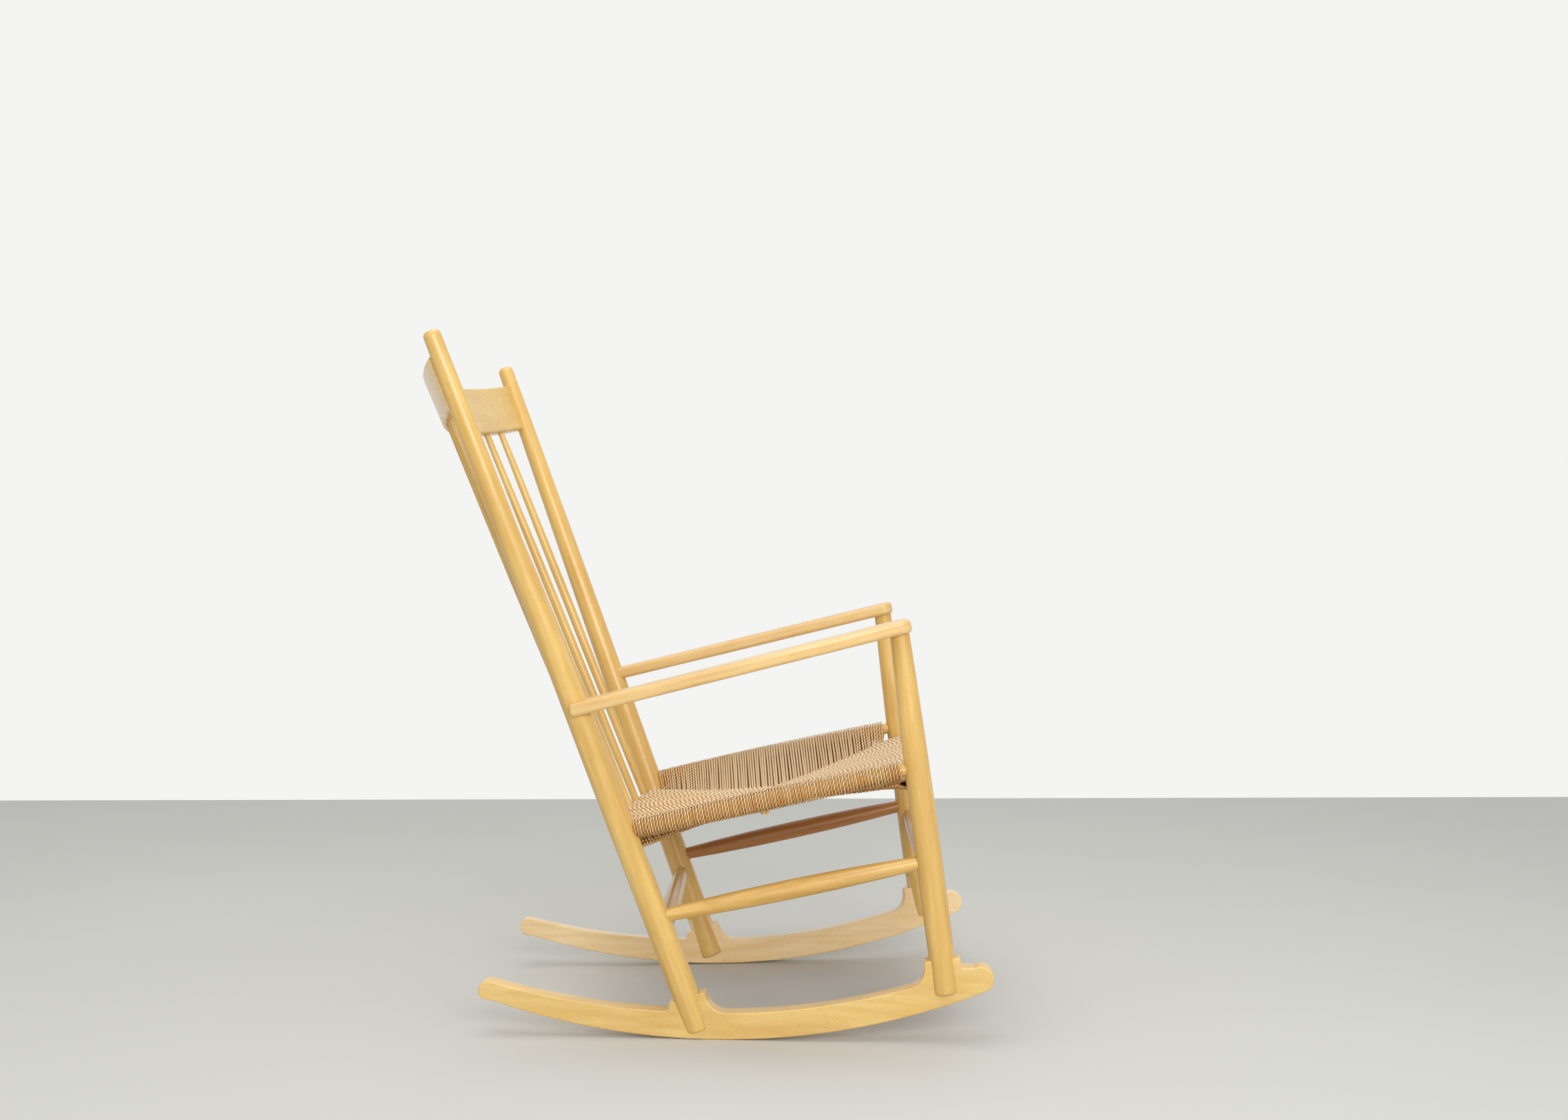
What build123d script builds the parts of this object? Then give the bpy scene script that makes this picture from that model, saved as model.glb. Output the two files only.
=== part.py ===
# A rocking chair in beech: round turned posts straddle two sawn rockers, a bent crest rail
# stands on eight turned spindles, and a paper cord seat is wound over four round rails.
# Sizes are in millimetres. X runs to the sitter's left, Y to the back and Z up. While the
# chair is built, heights are from the floor and depths from the standing point, where the
# rockers touch the floor; at the end it is moved to the middle of its own footprint.
from build123d import *

import os
from dataclasses import dataclass
from math import asin, cos, radians, sin, sqrt

# Rockers: boards sawn to a running edge of one radius, with a round nose and a round lobe.
RUNNING_RADIUS = 1075.0
ROCKER_THICKNESS = 25.0
ROCKER_DEPTH = 41.7
NOSE_REACH = 344.3  # from the standing point back to the centre of the nose
NOSE_DIAMETER = 30.0
NOSE_DROP = 2.7  # the nose stands this far below the running edge
LOBE_REACH = 402.2  # from the standing point forward to the centre of the lobe
LOBE_DIAMETER = 40.0
NECK_DIP = 2.5  # the neck between lobe and front post lies this far below the lobe
NOSE_TAPER = 3.8  # degrees by which the upper edge closes on the running edge at the nose
EDGE_ROUNDING = 2.5

# Ears: the rocker rises beside each post, and a tongue goes on up inside the post's slot.
EAR_WIDTH = 9.0
EAR_CORNER = 4.0
TONGUE_RISE = 20.0
BACK_SWEEP = 33.0  # radii of the big hollows that face the middle of the rocker
FRONT_SWEEP = 28.0
REAR_HOLLOW = 5.0
NECK_HOLLOW = 4.5
LOBE_HOLLOW = 8.0
COVE = 12.0  # radius of the cove in front of the nose

# Back posts, from foot to tip.
BACK_FOOT_SPACING = 454.9
BACK_FOOT_DEPTH = 23.1
BACK_FOOT_HEIGHT = 13.7
BACK_RAKE = 19.86
BACK_SPLAY = 5.56
BACK_POST_LENGTH = 1116.7
BACK_POST_RADII = (20.5, 18.6, 13.0)  # at the foot, half way up and at the tip
BACK_SLOT = 53.5  # from the foot's end up to the tops of the ears
TIP_ROUNDING = 8.0
FOOT_ROUNDING = 4.0

# Front posts, from foot to the shoulder under the arm.
FRONT_FOOT_SPACING = 529.4
FRONT_FOOT_DEPTH = -349.4
FRONT_FOOT_HEIGHT = 76.1
FRONT_RAKE = 7.26
FRONT_SPLAY = -0.59
FRONT_POST_RADII = (18.6, 19.6, 14.3)
FRONT_SLOT = 52.7
FRONT_GRIP_INSET = 3.0  # the rocker passes this far inside the front post's axis

# Pins that lock each post on its rocker, from the inner side.
PIN_DIAMETER = 6.4
PIN_SETBACK = 8.0  # from the foot's end, and from the tops of the ears
PIN_BITE = 4.0  # into the outer cheek

# Arms: flat bars that lap round the back posts and rest on the front ones.
ARM_BACK_HEIGHT = 505.6  # of the middle of the arm, at the back post
ARM_FRONT_HEIGHT = 622.8  # and at the front post
ARM_THICKNESS = 20.0
ARM_BACK_WIDTH = 43.0
ARM_FRONT_WIDTH = 50.0
ARM_OUTSET = 8.0  # how far the arm's middle stands outside the back post's axis
ARM_LAP = 7.0  # behind the back post's axis
ARM_OVERHANG = 18.0  # in front of the front post's axis
ARM_CORNER = 16.0
ARM_LAP_CORNER = 4.0
ARM_ROUNDING = 6.0
ARM_TENON_DIAMETER = 20.0
ARM_TENON_LENGTH = 13.0
BRAD_DIAMETER = 2.0
BRAD_LENGTH = 28.0

# Crest rail: a board bent to one radius and leaned back between the posts.
CREST_HEIGHT = 950.6  # of its lower edge, at the posts
CREST_WIDTH = 82.7  # up the board
CREST_THICKNESS = 19.0
CREST_BOW = 58.0
CREST_LEAN = 22.5
CREST_FORWARD = 5.0  # its front face stands this far in front of the posts' axes
CREST_ROUNDING = 4.0
CREST_TENON_THICKNESS = 10.0
CREST_TENON_INSET = 10.0  # below the top edge and above the bottom edge

# Spindles, fanned between the rear seat rail and the crest rail.
SPINDLE_COUNT = 8
SPINDLE_HEAD_SPREAD = 471.0  # between the outer two, at the crest rail
SPINDLE_FOOT_SPREAD = 404.0  # and at the rear seat rail
SPINDLE_RADII = (6.2, 7.75, 5.2)  # at the foot, at the belly and at the head
SPINDLE_BELLY = 0.43  # share of the spindle's length
SPINDLE_TENON_RADIUS = 5.0
SPINDLE_HEAD_BITE = 15.0
SPINDLE_FOOT_BITE = 3.0  # past the rear rail's axis

# Seat rails, by the heights at which their axes meet the posts' axes.
FRONT_RAIL_HEIGHT = 385.6
SIDE_RAIL_STEP = 28.5  # side rails enter the front posts this far above the front rail
REAR_RAIL_HEIGHT = 292.6
SIDE_RAIL_REAR_STEP = 26.7  # and enter the back posts this far above the rear rail
RAIL_RADIUS = 10.5
SIDE_RAIL_RADIUS = 12.5  # half way along, where the side rails swell
RAIL_END_RADIUS = 9.0
RAIL_NECK = 28.0  # from a post's axis to where the rail starts to swell
REAR_RAIL_RADIUS = 10.0
REAR_RAIL_BOW = 30.0

# Stretchers, set below each other in the posts so that their tenons miss.
SIDE_STRETCHER_FRONT_HEIGHT = 274.1
SIDE_STRETCHER_REAR_HEIGHT = 186.6
FRONT_STRETCHER_DROP = 16.5
REAR_STRETCHER_DROP = 26.0
STRETCHER_RADIUS = 14.8
STRETCHER_END_RADIUS = 9.3
STRETCHER_TENON_RADIUS = 7.5

# Corded seat: cord wound over the rails, in four panels that meet in the middle.
CORD_RADIUS = 14.0  # of the cord wound round the front and rear rails
SIDE_CORD_RADII = (13.3, 16.5)  # round a side rail, at its ends and half way along
CORD_NEST = 0.4  # the panels lie this far below the tops of the wound rails
SEAT_CORE = 16.0  # thickness where the four panels meet
SEAT_SEAM = 88.0  # length of the seam across the middle
SEAT_SAG = 12.0  # of that seam, below the tops of the front and rear rails
SEAT_MIDDLE_DEPTH = -89.0
BARE_END = 9.0  # of each side rail, left without cord at the front post
KNOT_RADIUS = 3.5
KNOT_LENGTH = 14.0
KNOT_DEPTH = -74.5
KNOT_DROP = 21.4  # from the rail's axis to the knot's

# Clearances.
GLUE_GAP = 0.05  # round a tenon, on the radius, and beside a rocker in its slot
END_GAP = 1.0  # past the end of a tenon, in its hole
TENON_OVERRUN = 3.0  # a rail's tenon passes its post's axis by this much
CORD_GAP = 0.1  # between the seat and what it is wound on or round
REACH = 60.0  # how far a cutter runs on past what it cuts
SWELLING_STEPS = 6  # straight turnings that make up a bar's swelling


@dataclass(frozen=True)
class Post:
    """A turned post, given by the foot of its axis, its lean and its radii."""

    foot: Vector
    direction: Vector
    length: float
    radii: tuple

    def at_height(self, height):
        """The point of the axis at a height above the floor."""
        return self.foot + self.direction * ((height - self.foot.Z) / self.direction.Z)

    def along(self, distance):
        """The point of the axis at a distance from the foot."""
        return self.foot + self.direction * distance

    def radius_at(self, height):
        """The post's radius at a height, on the curve through its three radii."""
        share = (height - self.foot.Z) / (self.direction.Z * self.length)
        foot, middle, tip = self.radii
        return foot + (4 * middle - 3 * foot - tip) * share + 2 * (foot + tip - 2 * middle) * share**2

    def solid(self, allowance=0.0, foot_rounding=0.0, tip_rounding=0.0):
        """The turned solid, with rounded ends, or one larger all round for cutting."""
        foot, middle, tip = (radius + allowance for radius in self.radii)
        side = parabola((foot, 0), (middle, self.length / 2), (tip, self.length))
        outline = side + Polyline((tip, 0, self.length), (0, 0, self.length), (0, 0, 0), (foot, 0, 0))
        section = make_face(outline)
        if foot_rounding:
            section = rounded_at(section, (foot, 0, 0), foot_rounding)
        if tip_rounding:
            section = rounded_at(section, (tip, 0, self.length), tip_rounding)
        return Plane(self.foot, z_dir=self.direction) * revolve(section, Axis.Z)


def rounded_at(face, corner, radius):
    """A flat outline with its corner nearest a point rounded off."""
    return fillet(face.vertices().sort_by_distance(Vector(*corner))[0], radius)


def parabola(start, middle, end):
    """A turned outline through three (radius, length) points, the second half way along."""
    bulge = 2 * middle[0] - (start[0] + end[0]) / 2
    return Bezier((start[0], 0, start[1]), (bulge, 0, middle[1]), (end[0], 0, end[1]))


def lean(rake, splay):
    """The direction of a post that leans back by rake and out to the left by splay."""
    return Vector(sin(radians(splay)), sin(radians(rake)) * cos(radians(splay)),
                  cos(radians(rake)) * cos(radians(splay))).normalized()


def rod(start, end, radius):
    """A plain cylinder between two points."""
    axis = end - start
    return Plane(start, z_dir=axis) * Cylinder(radius, axis.length, align=(Align.CENTER, Align.CENTER, Align.MIN))


def turned_bar(start, end, end_radius, middle_radius, neck=0.0):
    """A bar that swells to its middle between two posts' axes, with plain necks."""
    axis = end - start
    run = axis.length - 2 * neck
    swelling = []
    for step in range(SWELLING_STEPS + 1):
        share = step / SWELLING_STEPS
        radius = end_radius + 4 * (middle_radius - end_radius) * share * (1 - share)
        swelling.append((radius, 0, neck + run * share))
    low, high = -TENON_OVERRUN, axis.length + TENON_OVERRUN
    outline = Polyline((0, 0, low), (end_radius, 0, low), *swelling, (end_radius, 0, high), (0, 0, high),
                       close=True)
    return Plane(start, z_dir=axis) * revolve(make_face(outline), Axis.Z)


def stretcher(start, end, posts):
    """A swelling stretcher, scribed to two posts and tenoned into both of them."""
    bar = turned_bar(start, end, STRETCHER_END_RADIUS, STRETCHER_RADIUS)
    for post in posts:
        bar -= post
    overrun = (end - start).normalized() * TENON_OVERRUN
    return bar + rod(start - overrun, end + overrun, STRETCHER_TENON_RADIUS)


def bar_hole(start, end, end_radius):
    """What a bar's tenon at its start needs bored out of the post."""
    way = (end - start).normalized()
    return rod(start - way * (TENON_OVERRUN + END_GAP), start + way * REACH, end_radius + GLUE_GAP)


def opposite(point):
    """The same point on the other side of the chair."""
    return Vector(-point.X, point.Y, point.Z)


def other_side(shape):
    """The same piece on the other side of the chair."""
    return mirror(shape, Plane.YZ)


# The left side is built, and the right side is its mirror image.
back_post = Post(Vector(BACK_FOOT_SPACING / 2, BACK_FOOT_DEPTH, BACK_FOOT_HEIGHT),
                 lean(BACK_RAKE, BACK_SPLAY), BACK_POST_LENGTH, BACK_POST_RADII)
front_lean = lean(FRONT_RAKE, FRONT_SPLAY)
front_post = Post(Vector(FRONT_FOOT_SPACING / 2, FRONT_FOOT_DEPTH, FRONT_FOOT_HEIGHT), front_lean,
                  (ARM_FRONT_HEIGHT - FRONT_FOOT_HEIGHT) / front_lean.Z, FRONT_POST_RADII)

# The rocker's board lies in the plane through both slots, midway between the posts' leans.
back_grip = back_post.along(BACK_SLOT / 2)
front_grip = front_post.along(FRONT_SLOT / 2) - Vector(FRONT_GRIP_INSET, 0, 0)
mean_lean = (back_post.direction + front_post.direction).normalized()
rocker_normal = (back_grip - front_grip).cross(mean_lean).normalized()
rocker_along = Vector(0, 0, 1).cross(rocker_normal).normalized()
rocker_up = rocker_normal.cross(rocker_along)
rocker_drop = back_grip - rocker_up * (back_grip.Z / rocker_up.Z)
rocker_plane = Plane(rocker_drop - rocker_along * (rocker_drop.Y / rocker_along.Y),
                     x_dir=rocker_along, z_dir=rocker_normal)


def rim(angle, inset):
    """A point of the board, by its angle about the centre of the run and its depth in."""
    radius = RUNNING_RADIUS - inset
    return (radius * sin(angle), RUNNING_RADIUS - radius * cos(angle))


def grip_frame(post):
    """The frame, in the board, of a post's foot: its Y runs up the post."""
    foot = rocker_plane.to_local_coords(post.foot)
    up = rocker_plane.to_local_coords(post.foot + post.direction) - foot
    return Plane(Vector(foot.X, foot.Y, 0), x_dir=Vector(up.Y, -up.X, 0), z_dir=(0, 0, 1))


def ear_outline(post, slot):
    """The board's upright strip behind a post, as wide as the post and its two ears."""
    half = post.radii[0] + EAR_WIDTH
    return grip_frame(post) * Pos(0, slot / 2 + FOOT_ROUNDING) * Rectangle(2 * half, slot - 2 * FOOT_ROUNDING)


def ear_corner(post, slot, side):
    """The top corner of an ear: side is 1 behind the post and -1 in front of it."""
    return (grip_frame(post) * Pos(side * (post.radii[0] + EAR_WIDTH), slot)).position


def make_rocker_board():
    """The rocker without its tongues: run, nose, lobe, neck and the four ears."""
    nose = NOSE_DIAMETER / 2
    lobe = LOBE_DIAMETER / 2
    nose_angle = asin(NOSE_REACH / (RUNNING_RADIUS - nose + NOSE_DROP))
    lobe_angle = -asin(LOBE_REACH / (RUNNING_RADIUS - lobe))
    front_foot = grip_frame(front_post).origin
    back_foot = grip_frame(back_post).origin
    front_angle = asin(front_foot.X / RUNNING_RADIUS)
    back_angle = asin(back_foot.X / RUNNING_RADIUS)

    nose_centre = Vector(*rim(nose_angle, nose - NOSE_DROP))
    nose_slope = nose_angle - radians(NOSE_TAPER)
    nose_top = nose_centre + Vector(-sin(nose_slope), cos(nose_slope)) * nose
    nose_end = nose_centre + Vector(cos(nose_slope), sin(nose_slope)) * nose
    swell = sqrt(nose**2 - (nose - NOSE_DROP) ** 2)
    nose_start = rim(nose_angle - swell / RUNNING_RADIUS, 0)
    lobe_centre = Vector(*rim(lobe_angle, lobe))
    lobe_end = lobe_centre - Vector(cos(lobe_angle), sin(lobe_angle)) * lobe
    neck_rise = lobe - NECK_DIP
    neck_start = lobe_centre + Vector(sqrt(lobe**2 - neck_rise**2), neck_rise)

    lower = ThreePointArc(rim(lobe_angle, 0), rim(0, 0), nose_start)
    rear_end = ThreePointArc(nose_start, nose_end, nose_top)
    taper = TangentArc(nose_top, rim(back_angle, ROCKER_DEPTH), tangent=(-cos(nose_slope), -sin(nose_slope)))
    upper = ThreePointArc(rim(back_angle, ROCKER_DEPTH), rim((back_angle + front_angle) / 2, ROCKER_DEPTH),
                          rim(front_angle, ROCKER_DEPTH))
    neck = Polyline(rim(front_angle, ROCKER_DEPTH), (front_foot.X, neck_start.Y), neck_start)
    front_end = ThreePointArc(neck_start, lobe_end, rim(lobe_angle, 0))
    board = make_face(lower + rear_end + taper + upper + neck + front_end)
    board += ear_outline(back_post, BACK_SLOT)
    board += ear_outline(front_post, FRONT_SLOT)

    rear_ear_foot = (grip_frame(back_post) * Pos(back_post.radii[0] + EAR_WIDTH, BACK_SLOT / 2)).position
    mid_ear_foot = (grip_frame(back_post) * Pos(-back_post.radii[0] - EAR_WIDTH, BACK_SLOT / 2)).position
    sweep_foot = (grip_frame(front_post) * Pos(front_post.radii[0] + EAR_WIDTH, FRONT_SLOT / 3)).position
    neck_foot = (grip_frame(front_post) * Pos(-front_post.radii[0] - EAR_WIDTH, FRONT_SLOT * 0.75)).position
    hollows = ((rear_ear_foot, REAR_HOLLOW), (mid_ear_foot, BACK_SWEEP), (sweep_foot, FRONT_SWEEP),
               (neck_foot, NECK_HOLLOW), (neck_start, LOBE_HOLLOW),
               (Vector(*nose_start), COVE))
    for corner, radius in hollows:
        board = rounded_at(board, corner, radius)
    for post, slot in ((back_post, BACK_SLOT), (front_post, FRONT_SLOT)):
        for side in (-1, 1):
            board = rounded_at(board, ear_corner(post, slot, side), EAR_CORNER)

    solid = extrude(board, ROCKER_THICKNESS / 2, both=True)
    rims = solid.faces().filter_by(Axis.Z).edges()
    return rocker_plane * fillet(rims, EDGE_ROUNDING)


def slot_slab(post, low, high, thickness):
    """A slab in the board's plane that takes in a stretch of a post, all through it."""
    width = 2 * (post.radii[0] + REACH)
    slab = Pos(0, (low + high) / 2) * Box(width, high - low, thickness)
    return rocker_plane * grip_frame(post) * slab


def pin_holes(post, slot, allowance=0.0):
    """The two pins of one post, or what they need bored."""
    inner = -post.radii[0] - REACH
    outer = ROCKER_THICKNESS / 2 + PIN_BITE + (END_GAP if allowance else 0.0)
    pins = []
    for distance in (PIN_SETBACK, slot + PIN_SETBACK):
        pin = Cylinder(PIN_DIAMETER / 2 + allowance, outer - inner)
        pins.append(rocker_plane * grip_frame(post) * Pos(0, distance, (inner + outer) / 2) * pin)
    return pins


# Where the rails and stretchers meet the posts' axes, on the left side.
front_rail_end = front_post.at_height(FRONT_RAIL_HEIGHT)
side_rail_front = front_post.at_height(FRONT_RAIL_HEIGHT + SIDE_RAIL_STEP)
side_rail_rear = back_post.at_height(REAR_RAIL_HEIGHT + SIDE_RAIL_REAR_STEP)
rear_rail_end = back_post.at_height(REAR_RAIL_HEIGHT)
side_stretcher_front = front_post.at_height(SIDE_STRETCHER_FRONT_HEIGHT)
side_stretcher_rear = back_post.at_height(SIDE_STRETCHER_REAR_HEIGHT)
front_stretcher_end = front_post.at_height(SIDE_STRETCHER_FRONT_HEIGHT - FRONT_STRETCHER_DROP)
rear_stretcher_end = back_post.at_height(SIDE_STRETCHER_REAR_HEIGHT - REAR_STRETCHER_DROP)

# The rear rail is bent in the slope of the seat, the crest rail across its own lean.
seat_fall = front_rail_end - rear_rail_end
seat_slope = Vector(0, -seat_fall.Y, -seat_fall.Z).normalized()
rear_rail_plane = Plane(Vector(0, rear_rail_end.Y, rear_rail_end.Z), x_dir=(1, 0, 0),
                        z_dir=Vector(1, 0, 0).cross(seat_slope))
crest_foot = back_post.at_height(CREST_HEIGHT)
crest_lean = Vector(0, sin(radians(CREST_LEAN)), cos(radians(CREST_LEAN)))
crest_plane = Plane(Vector(0, crest_foot.Y - CREST_FORWARD, CREST_HEIGHT), x_dir=(1, 0, 0), z_dir=crest_lean)
crest_end = back_post.at_height(CREST_HEIGHT + CREST_WIDTH / 2)


def bow_radius(half_width, bow):
    """The radius of an arc with this half chord and this rise."""
    return (half_width**2 + bow**2) / (2 * bow)


rear_rail_radius = bow_radius(rear_rail_end.X, REAR_RAIL_BOW)
crest_radius = bow_radius(crest_end.X, CREST_BOW)


def bow_at(radius, bow, across):
    """How far back a bowed piece stands at a distance from the middle."""
    return bow - radius + sqrt(radius**2 - across**2)


def bent_rod(half_width, overrun, section_radius):
    """A round rod along the rear rail's arc, running past both posts' axes."""
    ring = Torus(rear_rail_radius, section_radius)
    stretch = Pos(0, rear_rail_radius) * Box(2 * (half_width + overrun), rear_rail_radius, 4 * section_radius)
    return rear_rail_plane * Pos(0, REAR_RAIL_BOW - rear_rail_radius) * (ring & stretch)


def crest_ring(inner, thickness, low, high, half_width):
    """A piece of the crest's bend, by its radius, thickness and edges."""
    centre = Pos(0, CREST_BOW - crest_radius)
    ring = centre * (Circle(inner + thickness) - Circle(inner))
    ring &= Pos(0, crest_radius / 2) * Rectangle(2 * half_width, 2 * crest_radius)
    return Pos(0, 0, low) * extrude(ring, high - low)


def crest_tenon(allowance=0.0):
    """The thinner board that runs through the crest rail and into both posts."""
    thickness = CREST_TENON_THICKNESS + 2 * allowance
    inner = crest_radius + (CREST_THICKNESS - thickness) / 2
    half = crest_end.X + TENON_OVERRUN + (END_GAP if allowance else 0.0)
    return crest_plane * crest_ring(inner, thickness, CREST_TENON_INSET - allowance,
                                    CREST_WIDTH - CREST_TENON_INSET + allowance, half)


@dataclass(frozen=True)
class Spindle:
    """The axis of one spindle, from the rear rail's axis to the crest's lower edge."""

    foot: Vector
    head: Vector

    @property
    def way(self):
        """The direction from foot to head."""
        return (self.head - self.foot).normalized()

    def solid(self):
        """The turned spindle with its shouldered foot tenon and its plain head."""
        length = (self.head - self.foot).length
        foot, belly, head = SPINDLE_RADII
        shoulder = REAR_RAIL_RADIUS + CORD_GAP
        low, high = -SPINDLE_FOOT_BITE, length + SPINDLE_HEAD_BITE
        side = Spline((foot, 0, shoulder), (belly, 0, SPINDLE_BELLY * length), (head, 0, length))
        outline = side + Polyline((head, 0, length), (head, 0, high), (0, 0, high), (0, 0, low),
                                  (SPINDLE_TENON_RADIUS, 0, low), (SPINDLE_TENON_RADIUS, 0, shoulder),
                                  (foot, 0, shoulder))
        return Plane(self.foot, z_dir=self.way) * revolve(make_face(outline), Axis.Z)

    def foot_hole(self):
        """What the foot needs bored out of the rear rail."""
        low = self.foot - self.way * (SPINDLE_FOOT_BITE + END_GAP)
        return rod(low, self.foot + self.way * REACH, SPINDLE_TENON_RADIUS + GLUE_GAP)

    def head_hole(self):
        """What the head needs bored out of the crest rail."""
        high = self.head + self.way * (SPINDLE_HEAD_BITE + END_GAP)
        return rod(self.head - self.way * REACH, high, SPINDLE_RADII[2] + GLUE_GAP)

    def cord_hole(self):
        """The space that the cord leaves round the spindle."""
        return rod(self.foot, self.foot + self.way * REACH, SPINDLE_RADII[1] + CORD_GAP)


def place_spindle(index):
    """One spindle, counted from the sitter's right."""
    share = index / (SPINDLE_COUNT - 1) - 0.5
    foot_across = share * SPINDLE_FOOT_SPREAD
    head_across = share * SPINDLE_HEAD_SPREAD
    foot_back = bow_at(rear_rail_radius, REAR_RAIL_BOW, foot_across)
    head_back = bow_at(crest_radius, CREST_BOW, head_across) + CREST_THICKNESS / 2
    return Spindle(rear_rail_plane.from_local_coords(Vector(foot_across, foot_back, 0)),
                   crest_plane.from_local_coords(Vector(head_across, head_back, 0)))


spindles = [place_spindle(index) for index in range(SPINDLE_COUNT)]

# The arm runs from outside the back post's axis to the front post's, middle to middle.
arm_back = back_post.at_height(ARM_BACK_HEIGHT) + Vector(ARM_OUTSET, 0, 0)
arm_front = front_post.at_height(ARM_FRONT_HEIGHT)
arm_along = (arm_front - arm_back).normalized()
arm_across = Vector(-arm_along.Y, arm_along.X, 0).normalized()
arm_plane = Plane(arm_back, x_dir=arm_along, z_dir=arm_along.cross(arm_across))
arm_run = (arm_front - arm_back).length


def make_arm():
    """A flat arm, wider to the front, rounded all round and scooped to the back post."""
    back, front = ARM_BACK_WIDTH / 2, ARM_FRONT_WIDTH / 2
    low, high = -ARM_LAP, arm_run + ARM_OVERHANG
    outline = make_face(Polyline((low, -back), (high, -front), (high, front), (low, back), close=True))
    for side in (-1, 1):
        outline = rounded_at(outline, (high, side * front, 0), ARM_CORNER)
        outline = rounded_at(outline, (low, side * back, 0), ARM_LAP_CORNER)
    bar = extrude(outline, ARM_THICKNESS / 2, both=True)
    bar = fillet(bar.faces().filter_by(Axis.Z).edges(), ARM_ROUNDING)
    arm = arm_plane * bar
    arm -= back_post.solid(GLUE_GAP)
    arm -= arm_tenon(GLUE_GAP)
    arm -= arm_brad(GLUE_GAP)
    return arm


def arm_tenon(allowance=0.0):
    """The tenon on top of the front post, or its hole in the arm."""
    top = ARM_TENON_LENGTH - ARM_THICKNESS / 2 + (END_GAP if allowance else 0.0)
    end = arm_front + front_post.direction * top
    start = arm_front - front_post.direction * ARM_THICKNESS
    return rod(start, end, ARM_TENON_DIAMETER / 2 + allowance)


def arm_brad(allowance=0.0):
    """The brad through the lap into the back post, flush with the arm's side."""
    depth = BRAD_LENGTH + (END_GAP if allowance else 0.0)
    brad = Rot(-90, 0, 0) * Cylinder(BRAD_DIAMETER / 2 + allowance, depth)
    return arm_plane * Pos(0, (ARM_BACK_WIDTH - depth) / 2, 0) * brad


def make_front_post():
    """A front post: slotted foot, bored for rails, and a tenon scribed under the arm."""
    post = front_post.solid(foot_rounding=FOOT_ROUNDING)
    above_arm = Pos(arm_run, 0, REACH - ARM_THICKNESS / 2) * Box(4 * REACH, 4 * REACH, 2 * REACH)
    post -= arm_plane * above_arm
    post += arm_tenon()
    post -= slot_slab(front_post, -REACH, FRONT_SLOT + TONGUE_RISE + GLUE_GAP, ROCKER_THICKNESS + 2 * GLUE_GAP)
    post -= pin_holes(front_post, FRONT_SLOT, GLUE_GAP)
    post -= bar_hole(side_stretcher_front, side_stretcher_rear, STRETCHER_TENON_RADIUS)
    post -= bar_hole(front_stretcher_end, opposite(front_stretcher_end), STRETCHER_TENON_RADIUS)
    post -= bar_hole(side_rail_front, side_rail_rear, RAIL_END_RADIUS)
    post -= bar_hole(front_rail_end, opposite(front_rail_end), RAIL_END_RADIUS)
    return post


def make_back_post():
    """A back post: slotted foot, rounded tip, and mortises for rails and crest."""
    post = back_post.solid(foot_rounding=FOOT_ROUNDING, tip_rounding=TIP_ROUNDING)
    post -= slot_slab(back_post, -REACH, BACK_SLOT + TONGUE_RISE + GLUE_GAP, ROCKER_THICKNESS + 2 * GLUE_GAP)
    post -= pin_holes(back_post, BACK_SLOT, GLUE_GAP)
    post -= bar_hole(side_stretcher_rear, side_stretcher_front, STRETCHER_TENON_RADIUS)
    post -= bar_hole(rear_stretcher_end, opposite(rear_stretcher_end), STRETCHER_TENON_RADIUS)
    post -= bar_hole(side_rail_rear, side_rail_front, RAIL_END_RADIUS)
    post -= bent_rod(rear_rail_end.X, TENON_OVERRUN + END_GAP, REAR_RAIL_RADIUS + GLUE_GAP)
    post -= crest_tenon(GLUE_GAP)
    post -= arm_brad(GLUE_GAP)
    return post


def make_rocker():
    """The board with a tongue up inside each post, bored for the pins."""
    rocker = make_rocker_board()
    for post, slot in ((back_post, BACK_SLOT), (front_post, FRONT_SLOT)):
        rocker += post.solid(-GLUE_GAP) & slot_slab(post, slot - EAR_CORNER - EDGE_ROUNDING, slot + TONGUE_RISE,
                                                    ROCKER_THICKNESS)
        rocker -= pin_holes(post, slot, GLUE_GAP)
    return rocker


def make_rocker_pins():
    """All the pins, each trimmed to the round of its post."""
    pins = []
    for post, slot in ((back_post, BACK_SLOT), (front_post, FRONT_SLOT)):
        pins += [pin & post.solid() for pin in pin_holes(post, slot)]
    pins += [other_side(pin) for pin in pins]
    return Part() + pins


def make_crest_rail():
    """The bent board with rounded edges, scribed and tenoned to the posts."""
    board = crest_ring(crest_radius, CREST_THICKNESS, 0, CREST_WIDTH, crest_end.X)
    board = crest_plane * fillet(board.edges().filter_by(GeomType.CIRCLE), CREST_ROUNDING)
    for envelope in (back_post.solid(GLUE_GAP), other_side(back_post.solid(GLUE_GAP))):
        board -= envelope
    board += crest_tenon()
    board -= [spindle.head_hole() for spindle in spindles]
    return board


def make_rear_rail():
    """The bent rear seat rail, bored for the spindles' feet."""
    rail = bent_rod(rear_rail_end.X, TENON_OVERRUN, REAR_RAIL_RADIUS)
    rail -= [spindle.foot_hole() for spindle in spindles]
    return rail


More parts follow.
